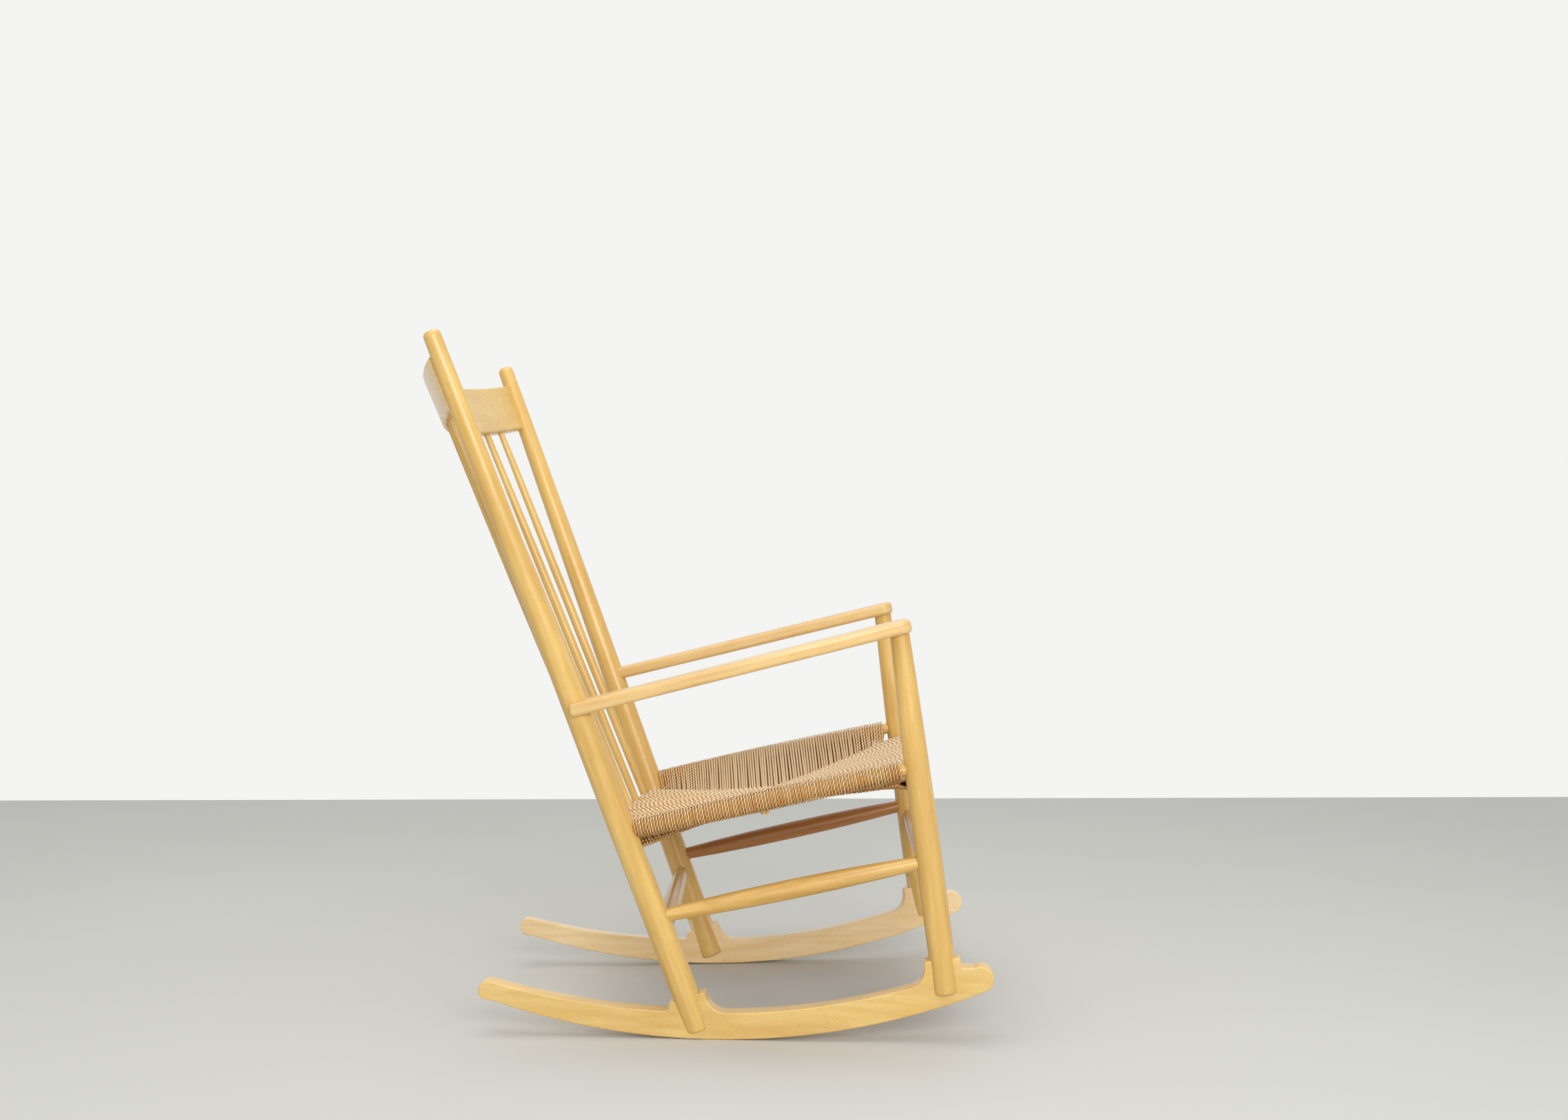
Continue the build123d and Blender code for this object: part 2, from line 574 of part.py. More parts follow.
def seat_section(depth_share, half_seam, sag=0.0):
    """The outline of the seat across the chair, from the front rail (0) to the rear (1)."""
    rise = (CORD_RADIUS - CORD_NEST) / seat_slope.Y
    end_roll, middle_roll = SIDE_CORD_RADII
    side_roll = end_roll + (middle_roll - end_roll) * (1 - abs(2 * depth_share - 1))
    side_rise = (side_roll - CORD_NEST) / seat_slope.Y
    side = side_rail_front + (side_rail_rear - side_rail_front) * depth_share
    middle = front_rail_end + (rear_rail_end - front_rail_end) * depth_share
    top = middle.Z + rise - sag
    core = 2 * rise - (2 * rise - SEAT_CORE) * (1 - abs(2 * depth_share - 1))
    points = ((side.X, side.Z + side_rise), (half_seam, top), (-half_seam, top),
              (-side.X, side.Z + side_rise), (-side.X, side.Z - side_rise), (-half_seam, top - core),
              (half_seam, top - core), (side.X, side.Z - side_rise))
    return make_face(Polyline(*[(x, middle.Y, z) for x, z in points], close=True))


def make_cord_seat():
    """The woven seat as one closed form: dished panels and the cord round the rails."""
    middle = (SEAT_MIDDLE_DEPTH - front_rail_end.Y) / (rear_rail_end.Y - front_rail_end.Y)
    front_section = seat_section(0, front_rail_end.X - RAIL_RADIUS)
    middle_section = seat_section(middle, SEAT_SEAM / 2, SEAT_SAG)
    rear_section = seat_section(1, rear_rail_end.X - RAIL_RADIUS)
    seat = loft([front_section, middle_section], ruled=True) + loft([middle_section, rear_section], ruled=True)
    bow = Pos(0, REAR_RAIL_BOW - rear_rail_radius) * Circle(rear_rail_radius)
    bow &= Pos(0, REAR_RAIL_BOW - CORD_NEST) * Rectangle(2 * rear_rail_end.X, 2 * REAR_RAIL_BOW)
    seat += rear_rail_plane * extrude(bow, CORD_RADIUS - 2 * CORD_NEST, both=True)
    seat += rod(front_rail_end, opposite(front_rail_end), CORD_RADIUS)
    seat += bent_rod(rear_rail_end.X, 0, CORD_RADIUS)
    way = (side_rail_rear - side_rail_front).normalized()
    start = side_rail_front + way * (front_post.radius_at(side_rail_front.Z) + BARE_END + TENON_OVERRUN)
    roll = turned_bar(start, side_rail_rear, *SIDE_CORD_RADII)
    seat += roll
    seat += other_side(roll)

    seat -= turned_bar(front_rail_end, opposite(front_rail_end), RAIL_END_RADIUS + CORD_GAP,
                       RAIL_RADIUS + CORD_GAP, RAIL_NECK)
    seat -= bent_rod(rear_rail_end.X, 0, REAR_RAIL_RADIUS + CORD_GAP)
    rail = turned_bar(side_rail_front, side_rail_rear, RAIL_END_RADIUS + CORD_GAP,
                      SIDE_RAIL_RADIUS + CORD_GAP, RAIL_NECK)
    seat -= rail
    seat -= other_side(rail)
    seat -= [spindle.cord_hole() for spindle in spindles]
    for post in (front_post, back_post):
        envelope = post.solid(CORD_GAP)
        seat -= envelope
        seat -= other_side(envelope)
    return seat


def make_cord_knot():
    """The knotted end of the cord, under the right side rail."""
    front, rear = opposite(side_rail_front), opposite(side_rail_rear)
    way = (rear - front).normalized()
    down = way.cross(Vector(1, 0, 0)).normalized()
    middle = front + way * ((KNOT_DEPTH - front.Y) / way.Y) + down * KNOT_DROP
    return rod(middle - way * (KNOT_LENGTH / 2), middle + way * (KNOT_LENGTH / 2), KNOT_RADIUS)


def build_pieces():
    """Every piece of the chair by name."""
    front_envelope = front_post.solid(GLUE_GAP)
    back_envelope = back_post.solid(GLUE_GAP)
    pieces = {
        "rocker": make_rocker(),
        "back_post": make_back_post(),
        "front_post": make_front_post(),
        "arm": make_arm(),
        "stretcher": stretcher(side_stretcher_front, side_stretcher_rear, (front_envelope, back_envelope)),
        "seat_rail": turned_bar(side_rail_front, side_rail_rear, RAIL_END_RADIUS, SIDE_RAIL_RADIUS,
                                RAIL_NECK),
    }
    pieces = {f"{name}_left": piece for name, piece in pieces.items()}
    pieces |= {name.replace("_left", "_right"): other_side(piece) for name, piece in pieces.items()}
    pieces["stretcher_front"] = stretcher(front_stretcher_end, opposite(front_stretcher_end),
                                          (front_envelope, other_side(front_envelope)))
    pieces["stretcher_rear"] = stretcher(rear_stretcher_end, opposite(rear_stretcher_end),
                                         (back_envelope, other_side(back_envelope)))
    pieces["seat_rail_front"] = turned_bar(front_rail_end, opposite(front_rail_end), RAIL_END_RADIUS,
                                           RAIL_RADIUS, RAIL_NECK)
    pieces["seat_rail_rear"] = make_rear_rail()
    pieces["crest_rail"] = make_crest_rail()
    for number, spindle in enumerate(spindles, 1):
        pieces[f"spindle_{number}"] = spindle.solid()
    pieces["rocker_pins"] = make_rocker_pins()
    pieces["arm_brads"] = Part() + [arm_brad(), other_side(arm_brad())]
    pieces["cord_seat"] = make_cord_seat()
    pieces["cord_knot"] = make_cord_knot()
    return pieces


def main():
    """Builds the pieces, stands the chair on its footprint's middle and writes them."""
    pieces = build_pieces()
    boxes = [piece.bounding_box() for piece in pieces.values()]
    depth = (min(box.min.Y for box in boxes) + max(box.max.Y for box in boxes)) / 2
    floor = min(box.min.Z for box in boxes)
    os.makedirs("parts", exist_ok=True)
    for name, piece in pieces.items():
        export_step(Pos(0, -depth, -floor) * piece, f"parts/{name}.step")


main()
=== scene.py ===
"""Dresses a beech rocking chair: lacquered wood, a woven paper cord seat, a studio and a camera.

The scene is in metres in the chair's own frame: +X to the sitter's left, +Y to the back and +Z up.
The sizes that the classes hold are in millimetres, unless a class or a comment says otherwise.
"""
import logging
import math
import random
from collections.abc import Iterable
from dataclasses import dataclass
from enum import Enum

import bmesh
import bpy
from mathutils import Matrix, Vector


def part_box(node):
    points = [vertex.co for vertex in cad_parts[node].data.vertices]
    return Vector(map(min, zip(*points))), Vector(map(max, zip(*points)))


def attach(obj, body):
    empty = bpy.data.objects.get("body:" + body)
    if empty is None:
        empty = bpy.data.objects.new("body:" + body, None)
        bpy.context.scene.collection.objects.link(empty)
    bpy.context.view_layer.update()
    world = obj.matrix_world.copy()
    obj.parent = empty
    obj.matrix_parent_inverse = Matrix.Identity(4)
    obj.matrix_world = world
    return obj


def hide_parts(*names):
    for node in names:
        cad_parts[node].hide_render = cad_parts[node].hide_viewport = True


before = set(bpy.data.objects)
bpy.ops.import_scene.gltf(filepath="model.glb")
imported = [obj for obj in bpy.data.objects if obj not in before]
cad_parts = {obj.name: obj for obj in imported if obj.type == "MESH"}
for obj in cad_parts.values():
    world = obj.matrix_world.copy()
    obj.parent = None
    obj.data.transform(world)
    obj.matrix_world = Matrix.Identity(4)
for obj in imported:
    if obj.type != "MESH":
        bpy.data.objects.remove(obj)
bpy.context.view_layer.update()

MM = 0.001
log = logging.getLogger("rocking_chair")

# The colour sockets of the Mix node and the number sockets of the Random Value node, by their place,
# because those nodes have several sockets of one name.
MIX_SHARE, MIX_BELOW, MIX_ABOVE, MIX_RESULT = 0, 6, 7, 2
RANDOM_LEAST, RANDOM_MOST, RANDOM_RESULT = 2, 3, 1

# What colours or covers a surface: a value, or the socket of a node.
Paint = float | tuple[float, ...] | bpy.types.NodeSocket


def linear(hex_colour: str) -> tuple[float, float, float, float]:
    """Turns an sRGB hex colour such as "#E3BE72" into Blender's linear colour.

    Args:
        hex_colour: A hash and six hex digits.

    Returns:
        Red, green, blue and alpha.
    """
    channels = [int(hex_colour[place:place + 2], 16) / 255 for place in (1, 3, 5)]
    light = [c / 12.92 if c <= 0.04045 else ((c + 0.055) / 1.055) ** 2.4 for c in channels]
    return (*light, 1.0)


def repeats(width: float) -> float:
    """The scale at which a texture's pattern is about a width wide, in millimetres."""
    return 1 / (width * MM)


def put(tree: bpy.types.NodeTree, kind: str, inputs: dict[str | int, object] | None = None,
        **settings: object) -> bpy.types.Node:
    """Adds a node with its settings and its inputs.

    Args:
        tree: The tree that the node joins.
        kind: The node's type.
        inputs: By socket name or number, a value or the socket of another node.
        **settings: The node's own properties.

    Returns:
        The new node.
    """
    node = tree.nodes.new(kind)
    for name, value in settings.items():
        setattr(node, name, value)
    for key, value in (inputs or {}).items():
        if isinstance(value, bpy.types.NodeSocket):
            tree.links.new(value, node.inputs[key])
        else:
            node.inputs[key].default_value = value
    return node


def new_material(name: str) -> tuple[bpy.types.Material, bpy.types.NodeTree]:
    """Makes an empty node material.

    Args:
        name: The material's name.

    Returns:
        The material and its node tree.
    """
    material = bpy.data.materials.new(name)
    material.use_nodes = True
    material.node_tree.nodes.clear()
    return material, material.node_tree


def glaze(tree: bpy.types.NodeTree, base: Paint, coats: Iterable[tuple[Paint, Paint]]) -> Paint:
    """Lays coats of colour over one another.

    Args:
        tree: The material's tree.
        base: The lowest colour.
        coats: For each coat, from the lowest up, how much it covers and its colour.

    Returns:
        The socket of the finished colour.
    """
    colour = base
    for share, coat in coats:
        colour = put(tree, "ShaderNodeMix", {MIX_SHARE: share, MIX_BELOW: colour, MIX_ABOVE: coat},
                     data_type="RGBA").outputs[MIX_RESULT]
    return colour


class Cut(Enum):
    """The sorts of beech in the chair, by the way that the grain runs in the chair's frame.

    Some of them differ only by a hair, so that a piece can take a finish of its own: the paler finish
    of the left rocker is painted light, and the left stretcher's finish is darker and redder.
    """

    BACK_LEFT = (0.0964, 0.338, 0.936)
    BACK_RIGHT = (-0.0964, 0.338, 0.936)
    SPINDLE = (0.0, 0.383, 0.924)
    FRONT = (0.0, 0.1264, 0.992)
    ARM = (0.0, -0.972, 0.236)
    CREST = (1.0, 0.001, 0.0)
    CROSS = (1.0, 0.0, 0.0)
    ROCKER = (0.0, 1.0, 0.0)
    # Painted light: a copy of ROCKER for the left rocker, which is painted paler.
    PAINTED_LIGHT_ROCKER = (0.0, 1.0, 0.001)
    SIDE = (0.0, 0.978, -0.209)
    DARK_SIDE = (0.0, 0.977, -0.21)


class Figure(Enum):
    """The patterns in the wood, by their scale along the grain when that across it is 1."""

    FIBRES = 0.03
    STREAKS = 0.05
    RINGS = 0.06
    RAYS = 0.28
    CLOUD = 0.3
    PATCHES = 0.4


@dataclass(frozen=True)
class LacqueredBeech:
    """Beech turned or sawn, sanded and lacquered clear: honey yellow, with a satin film.

    The eye sees soft streaks along the grain, short brown ray flecks and a broad, soft sheen.
    Widths are those across the grain. Fibres and rays are drawn coarser than real ones, to show.
    """

    cut: Cut
    pale: str = "#E8C576"
    honey: str = "#DBB05B"
    amber: str = "#B98537"
    fleck: str = "#A8753A"
    fibre_width: float = 0.9
    fleck_width: float = 0.7
    fleck_cell: float = 3.4  # the room that a fleck has, in its own widths
    streak_width: float = 7.0
    ring_spacing: float = 9.0
    ring_period: float = 0.314  # turns a spacing into the scale of Blender's diagonal bands
    patch_width: float = 14.0  # of the places where flecks gather
    cloud_width: float = 60.0  # of the broad, faint changes of tone
    figure: float = 0.35  # how plainly the growth rings show, from 0 to 1
    ring_share: float = 0.42  # how far the darker patterns colour the wood, at most
    fibre_share: float = 0.16
    cloud_share: float = 0.42
    fleck_share: tuple[float, float] = (0.05, 0.55)  # outside the patches and in them
    gloss: tuple[float, float] = (0.34, 0.46)  # the lacquer's roughness, where whole and where worn
    pore_depth: float = 0.06

    def build(self) -> bpy.types.Material:
        """Makes the material.

        Returns:
            A material whose patterns follow Object coordinates, turned to lie along the grain.
        """
        material, tree = new_material(f"lacquered beech {self.cut.name.lower().replace('_', ' ')}")
        turn = Vector(self.cut.value).rotation_difference(Vector((0, 0, 1))).to_euler()
        place = put(tree, "ShaderNodeTexCoord").outputs["Object"]
        along = put(tree, "ShaderNodeMapping", {"Vector": place, "Rotation": turn}).outputs["Vector"]
        drawn = {pattern: put(tree, "ShaderNodeMapping", {
            "Vector": along, "Scale": (1, 1, pattern.value)}).outputs["Vector"] for pattern in Figure}

        streaks = put(tree, "ShaderNodeTexNoise", {
            "Vector": drawn[Figure.STREAKS], "Scale": repeats(self.streak_width), "Detail": 5.0,
            "Roughness": 0.55, "Distortion": 0.3})
        fibres = put(tree, "ShaderNodeTexNoise", {
            "Vector": drawn[Figure.FIBRES], "Scale": repeats(self.fibre_width), "Detail": 2.0,
            "Roughness": 0.6})
        cloud = put(tree, "ShaderNodeTexNoise", {
            "Vector": drawn[Figure.CLOUD], "Scale": repeats(self.cloud_width), "Detail": 3.0,
            "Roughness": 0.5})
        rings = put(tree, "ShaderNodeTexWave", {
            "Vector": drawn[Figure.RINGS], "Scale": repeats(self.ring_spacing) * self.ring_period,
            "Distortion": 5.0, "Detail": 2.5, "Detail Scale": 0.8, "Detail Roughness": 0.6},
            wave_type="BANDS", bands_direction="DIAGONAL", wave_profile="SAW")
        rays = put(tree, "ShaderNodeTexVoronoi", {
            "Vector": drawn[Figure.RAYS], "Scale": repeats(self.fleck_cell * self.fleck_width),
            "Randomness": 1.0}, feature="F1")
        patches = put(tree, "ShaderNodeTexNoise", {
            "Vector": drawn[Figure.PATCHES], "Scale": repeats(self.patch_width), "Detail": 2.0})

        ray_spots = put(tree, "ShaderNodeMapRange", {
            "Value": rays.outputs["Distance"], "From Min": 0.10, "From Max": 0.24,
            "To Min": 1.0, "To Max": 0.0}, interpolation_type="SMOOTHSTEP")
        in_patches = put(tree, "ShaderNodeMapRange", {
            "Value": patches.outputs["Fac"], "From Min": 0.42, "From Max": 0.7,
            "To Min": self.fleck_share[0], "To Max": self.fleck_share[1]})
        flecks = put(tree, "ShaderNodeMath", {
            0: ray_spots.outputs["Result"], 1: in_patches.outputs["Result"]}, operation="MULTIPLY")
        # Each pattern's value where it starts to show and where it is full, and how much it covers.
        shares = [put(tree, "ShaderNodeMapRange", {
            "Value": pattern.outputs["Fac"], "From Min": least, "From Max": full, "To Min": 0.0,
            "To Max": most}).outputs["Result"] for pattern, least, full, most in (
                (streaks, 0.3, 0.7, 1.0),
                (rings, 0.55, 1.0, self.ring_share * self.figure),
                (fibres, 0.35, 0.75, self.fibre_share),
                (cloud, 0.38, 0.72, self.cloud_share))]
        coats = [linear(colour) for colour in (self.honey, self.amber, self.amber, self.amber)]
        colour = glaze(tree, linear(self.pale), zip(shares, coats))
        colour = glaze(tree, colour, [(flecks.outputs["Value"], linear(self.fleck))])

        # The lacquer has worn a little unevenly, so its gloss follows the broad cloud.
        rough = put(tree, "ShaderNodeMapRange", {
            "Value": cloud.outputs["Fac"], "From Min": 0.3, "From Max": 0.7,
            "To Min": self.gloss[0], "To Max": self.gloss[1]})
        bump = put(tree, "ShaderNodeBump", {
            "Strength": 0.25, "Distance": self.pore_depth * MM, "Height": fibres.outputs["Fac"]})
        shader = put(tree, "ShaderNodeBsdfPrincipled", {
            "Base Color": colour, "Roughness": rough.outputs["Result"], "IOR": 1.5,
            "Coat Weight": 0.5, "Coat Roughness": 0.22, "Coat IOR": 1.48,
            "Normal": bump.outputs["Normal"]})
        put(tree, "ShaderNodeOutputMaterial", {"Surface": shader.outputs["BSDF"]})
        return material


@dataclass(frozen=True)
class TwistedPaperCord:
    """Brown kraft paper cord: three plies of twisted paper laid up together, left unbleached.

    The eye sees slanting plies with dark furrows between them, and a dull, dry paper surface.
    """

    name: str = "twisted paper cord"
    crown: str = "#F2CD90"
    body: str = "#DCA35B"
    # Painted shade: the colour of the furrows between the plies.
    painted_furrow_shade: str = "#784619"
    # Painted light: the colour that what faces upwards is painted towards.
    painted_top_light: str = "#F8E9C8"
    plies: int = 3
    lay: float = 22.0  # along the cord, for one turn of a ply
    ply_crown: float = 0.36  # how far from a furrow a ply reaches its full height, in half plies
    furrow_depth: float = 0.55
    mottle_width: float = 16.0
    fibre_width: float = 0.8  # coarser than real fibres, to show
    fibre_height: float = 0.12  # as a share of the furrows' depth
    painted_top_light_share: float = 0.7  # how far what faces upwards is painted paler: painted light from above

    def build(self) -> bpy.types.Material:
        """Makes the material.

        Returns:
            A material that reads each strand's own attributes "run", "across", "up" and "tone".
        """
        material, tree = new_material(self.name)
        run, across, up, tone = (put(tree, "ShaderNodeAttribute", attribute_name=name).outputs["Fac"]
                                 for name in ("run", "across", "up", "tone"))
        angle = put(tree, "ShaderNodeMath", {0: up, 1: across}, operation="ARCTAN2").outputs[0]
        turned = put(tree, "ShaderNodeMath", {0: run, 1: repeats(self.lay), 2: tone},
                     operation="MULTIPLY_ADD").outputs[0]
        phase = put(tree, "ShaderNodeMath", {0: angle, 1: -1 / math.tau, 2: turned},
                    operation="MULTIPLY_ADD").outputs[0]
        count = put(tree, "ShaderNodeMath", {0: phase, 1: float(self.plies)},
                    operation="MULTIPLY").outputs[0]
        ply = put(tree, "ShaderNodeMath", {0: count, 1: 0.5}, operation="PINGPONG").outputs[0]
        crown = put(tree, "ShaderNodeMapRange", {
            "Value": ply, "From Min": 0.0, "From Max": self.ply_crown},
            interpolation_type="SMOOTHSTEP").outputs["Result"]

        place = put(tree, "ShaderNodeTexCoord").outputs["Object"]
        mottle = put(tree, "ShaderNodeTexNoise", {
            "Vector": place, "Scale": repeats(self.mottle_width), "Detail": 4.0}).outputs["Fac"]
        fibre = put(tree, "ShaderNodeTexNoise", {
            "Vector": place, "Scale": repeats(self.fibre_width), "Detail": 2.0}).outputs["Fac"]
        toned = put(tree, "ShaderNodeMath", {0: tone, 1: mottle}, operation="ADD").outputs[0]
        shade = put(tree, "ShaderNodeMapRange", {
            "Value": toned, "From Min": 0.3, "From Max": 1.5}).outputs["Result"]
        # Painted light: what faces upwards is painted paler, as if lit from above.
        normal = put(tree, "ShaderNodeNewGeometry").outputs["True Normal"]
        upward = put(tree, "ShaderNodeSeparateXYZ", {0: normal}).outputs["Z"]
        worn = put(tree, "ShaderNodeMapRange", {
            "Value": upward, "From Min": 0.35, "From Max": 0.95, "To Min": 0.0,
            "To Max": self.painted_top_light_share}).outputs["Result"]
        paper = glaze(tree, linear(self.body), [
            (shade, linear(self.crown)), (worn, linear(self.painted_top_light))])
        # Painted shade: the furrows between the plies are painted dark, besides being dented by the
        # bump.
        colour = glaze(tree, linear(self.painted_furrow_shade), [(crown, paper)])
        height = put(tree, "ShaderNodeMath", {0: fibre, 1: self.fibre_height, 2: crown},
                     operation="MULTIPLY_ADD").outputs[0]
        bump = put(tree, "ShaderNodeBump", {
            "Strength": 0.8, "Distance": self.furrow_depth * MM, "Height": height})
        shader = put(tree, "ShaderNodeBsdfPrincipled", {
            "Base Color": colour, "Roughness": 0.6, "IOR": 1.47, "Specular IOR Level": 0.35,
            "Normal": bump.outputs["Normal"]})
        put(tree, "ShaderNodeOutputMaterial", {"Surface": shader.outputs["BSDF"]})
        return material


@dataclass(frozen=True)
class StuffingPaintedAsShade:
    """Crumpled brown paper packed between the two layers of cord, seen only in the gaps; it is
    painted dark brown, with darker creases, as painted shade.
    """

    name: str = "crumpled kraft paper"
    # Painted shade: both colours are darker than the cord's own paper, for the shade inside the seat.
    paper: str = "#6B4424"
    painted_crease_shade: str = "#3A2312"
    crease_spacing: float = 9.0
    crease_depth: float = 1.5

    def build(self) -> bpy.types.Material:
        """Makes the material.

        Returns:
            A matt dark brown material, painted shade, with soft creases painted darker.
        """
        material, tree = new_material(self.name)
        place = put(tree, "ShaderNodeTexCoord").outputs["Object"]
        creases = put(tree, "ShaderNodeTexNoise", {
            "Vector": place, "Scale": repeats(self.crease_spacing), "Detail": 4.0}).outputs["Fac"]
        # Painted shade: the creases are painted darker.
        colour = glaze(tree, linear(self.painted_crease_shade), [(creases, linear(self.paper))])
        bump = put(tree, "ShaderNodeBump", {
            "Strength": 0.6, "Distance": self.crease_depth * MM, "Height": creases})
        shader = put(tree, "ShaderNodeBsdfPrincipled", {
            "Base Color": colour, "Roughness": 0.9, "Normal": bump.outputs["Normal"]})
        put(tree, "ShaderNodeOutputMaterial", {"Surface": shader.outputs["BSDF"]})
        return material


@dataclass(frozen=True)
class TarnishedBrass:
    """Small brass brads, tarnished brown under the lacquer, so that they read as dark dots."""

    name: str = "tarnished brass"
    bright: str = "#8A6A3C"
    tarnish: str = "#4A3420"
    spot_width: float = 1.2

    def build(self) -> bpy.types.Material:
        """Makes the material.

        Returns:
            A dull metal with darker spots.
        """
        material, tree = new_material(self.name)
        place = put(tree, "ShaderNodeTexCoord").outputs["Object"]
        spots = put(tree, "ShaderNodeTexNoise", {
            "Vector": place, "Scale": repeats(self.spot_width), "Detail": 3.0}).outputs["Fac"]
        colour = glaze(tree, linear(self.bright), [(spots, linear(self.tarnish))])
        shader = put(tree, "ShaderNodeBsdfPrincipled", {
            "Base Color": colour, "Metallic": 0.8, "Roughness": 0.5})
        put(tree, "ShaderNodeOutputMaterial", {"Surface": shader.outputs["BSDF"]})
        return material


@dataclass(frozen=True)
class SmoothConcrete:
    """A floor of troweled pale concrete: nearly even, with faint broad clouds and no gloss."""

    name: str = "smooth pale concrete"
    pale: str = "#CBCBC7"
    dull: str = "#B6B6B3"
    cloud_scale: float = 1.4  # clouds to a metre
    cloud_share: float = 0.12

    def build(self) -> bpy.types.Material:
        """Makes the material.

        Returns:
            A matt grey material with faint clouds.
        """
        material, tree = new_material(self.name)
        place = put(tree, "ShaderNodeTexCoord").outputs["Object"]
        cloud = put(tree, "ShaderNodeTexNoise", {
            "Vector": place, "Scale": self.cloud_scale, "Detail": 3.0}).outputs["Fac"]
        share = put(tree, "ShaderNodeMapRange", {
            "Value": cloud, "From Min": 0.3, "From Max": 0.7, "To Min": 0.0,
            "To Max": self.cloud_share}).outputs["Result"]
        colour = glaze(tree, linear(self.pale), [(share, linear(self.dull))])
        shader = put(tree, "ShaderNodeBsdfPrincipled", {"Base Color": colour, "Roughness": 0.75})
        put(tree, "ShaderNodeOutputMaterial", {"Surface": shader.outputs["BSDF"]})
        return material


@dataclass(frozen=True)
class WoodFrame:
    """The chair's wooden pieces, each group with the grain along its own length.

    Sawn boards show their rays more, and turned bars their rings.
    """

    groups: tuple[tuple[LacqueredBeech, tuple[str, ...]], ...] = (
        (LacqueredBeech(Cut.BACK_LEFT), ("back_post_left",)),
        (LacqueredBeech(Cut.BACK_RIGHT), ("back_post_right",)),
        (LacqueredBeech(Cut.SPINDLE), tuple(f"spindle_{number}" for number in range(1, 9))),
        (LacqueredBeech(Cut.FRONT), ("front_post_left", "front_post_right")),
        (LacqueredBeech(Cut.ARM, pale="#E9C98D", honey="#DEB670", figure=0.3),
         ("arm_left", "arm_right")),
        (LacqueredBeech(Cut.CREST, figure=0.12, streak_width=4.0), ("crest_rail",)),
        (LacqueredBeech(Cut.CROSS, honey="#D3A452", figure=0.7),
         ("stretcher_front", "stretcher_rear", "seat_rail_front", "seat_rail_rear", "rocker_pins")),
        (LacqueredBeech(Cut.ROCKER, pale="#EBCB84", honey="#E0B969", fleck_width=1.1, figure=0.25,
                        streak_width=11.0), ("rocker_right",)),
        # Painted light: the left rocker is painted paler than the right one.
        (LacqueredBeech(Cut.PAINTED_LIGHT_ROCKER, pale="#F7E0B2", honey="#EDCC92", amber="#CFA05C",
                        fleck_width=1.1, figure=0.25, streak_width=11.0), ("rocker_left",)),
        (LacqueredBeech(Cut.SIDE, honey="#D3A452", figure=0.7),
         ("stretcher_right", "seat_rail_left", "seat_rail_right")),
        # The left stretcher is given a darker, redder copy of the side finish.
        (LacqueredBeech(Cut.DARK_SIDE, pale="#C78C49", honey="#AE7035", amber="#875022", figure=0.6),
         ("stretcher_left",)),
    )
    brads: tuple[str, ...] = ("arm_brads",)

    def dress(self) -> dict[str, str]:
        """Gives every wooden piece and the brads their material.

        Returns:
            The name of each piece's material, by the piece's name.
        """
        worn = {}
        for finish, names in (*self.groups, (TarnishedBrass(), self.brads)):
            material = finish.build()
            for name in names:
                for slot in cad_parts[name].material_slots:
                    slot.material = material
                worn[name] = material.name
        return worn


def cord_tree() -> bpy.types.NodeTree:
    """Builds the Geometry Nodes that sweep a round cord along every edge path of a mesh.

    Returns:
        The tree, with the inputs "Cord radius", "Sides", "Seed" and "Cord material". It leaves on
        the cord the attributes that its material reads.
    """
    tree = bpy.data.node_groups.new("paper cord", "GeometryNodeTree")
    for name, kind in (("Geometry", "Geometry"), ("Cord radius", "Float"), ("Sides", "Int"),
                       ("Seed", "Int"), ("Cord material", "Material")):
        tree.interface.new_socket(name, in_out="INPUT", socket_type=f"NodeSocket{kind}")
    tree.interface.new_socket("Geometry", in_out="OUTPUT", socket_type="NodeSocketGeometry")
    given = put(tree, "NodeGroupInput").outputs

    # "run" is the distance along the strand, and "tone" is one random number for each strand.
    run = put(tree, "GeometryNodeSplineParameter").outputs["Length"]
    strand = put(tree, "GeometryNodeCurveOfPoint").outputs["Curve Index"]
    tone = put(tree, "FunctionNodeRandomValue", {
        RANDOM_LEAST: 0.0, RANDOM_MOST: 1.0, "ID": strand, "Seed": given["Seed"]},
        data_type="FLOAT").outputs[RANDOM_RESULT]
    strands = put(tree, "GeometryNodeMeshToCurve", {"Mesh": given["Geometry"]}).outputs[0]
    for name, value in (("run", run), ("tone", tone)):
        strands = put(tree, "GeometryNodeStoreNamedAttribute", {
            "Geometry": strands, "Name": name, "Value": value},
            data_type="FLOAT", domain="POINT").outputs[0]

    # "across" and "up" tell the material where it is round the cord.
    section = put(tree, "GeometryNodeCurvePrimitiveCircle", {
        "Resolution": given["Sides"], "Radius": given["Cord radius"]}).outputs["Curve"]
    position = put(tree, "GeometryNodeInputPosition").outputs[0]
    where = put(tree, "ShaderNodeSeparateXYZ", {0: position}).outputs
    for name, axis in (("across", "X"), ("up", "Y")):
        share = put(tree, "ShaderNodeMath", {0: where[axis], 1: given["Cord radius"]},
                    operation="DIVIDE").outputs[0]
        section = put(tree, "GeometryNodeStoreNamedAttribute", {
            "Geometry": section, "Name": name, "Value": share},
            data_type="FLOAT", domain="POINT").outputs[0]

    swept = put(tree, "GeometryNodeCurveToMesh", {
        "Curve": strands, "Profile Curve": section, "Fill Caps": True}).outputs[0]
    swept = put(tree, "GeometryNodeSetShadeSmooth", {
        "Geometry": swept, "Shade Smooth": True}).outputs[0]
    swept = put(tree, "GeometryNodeRealizeInstances", {"Geometry": swept}).outputs[0]
    swept = put(tree, "GeometryNodeSetMaterial", {
        "Geometry": swept, "Material": given["Cord material"]}).outputs[0]
    put(tree, "NodeGroupOutput", {"Geometry": swept})
    return tree


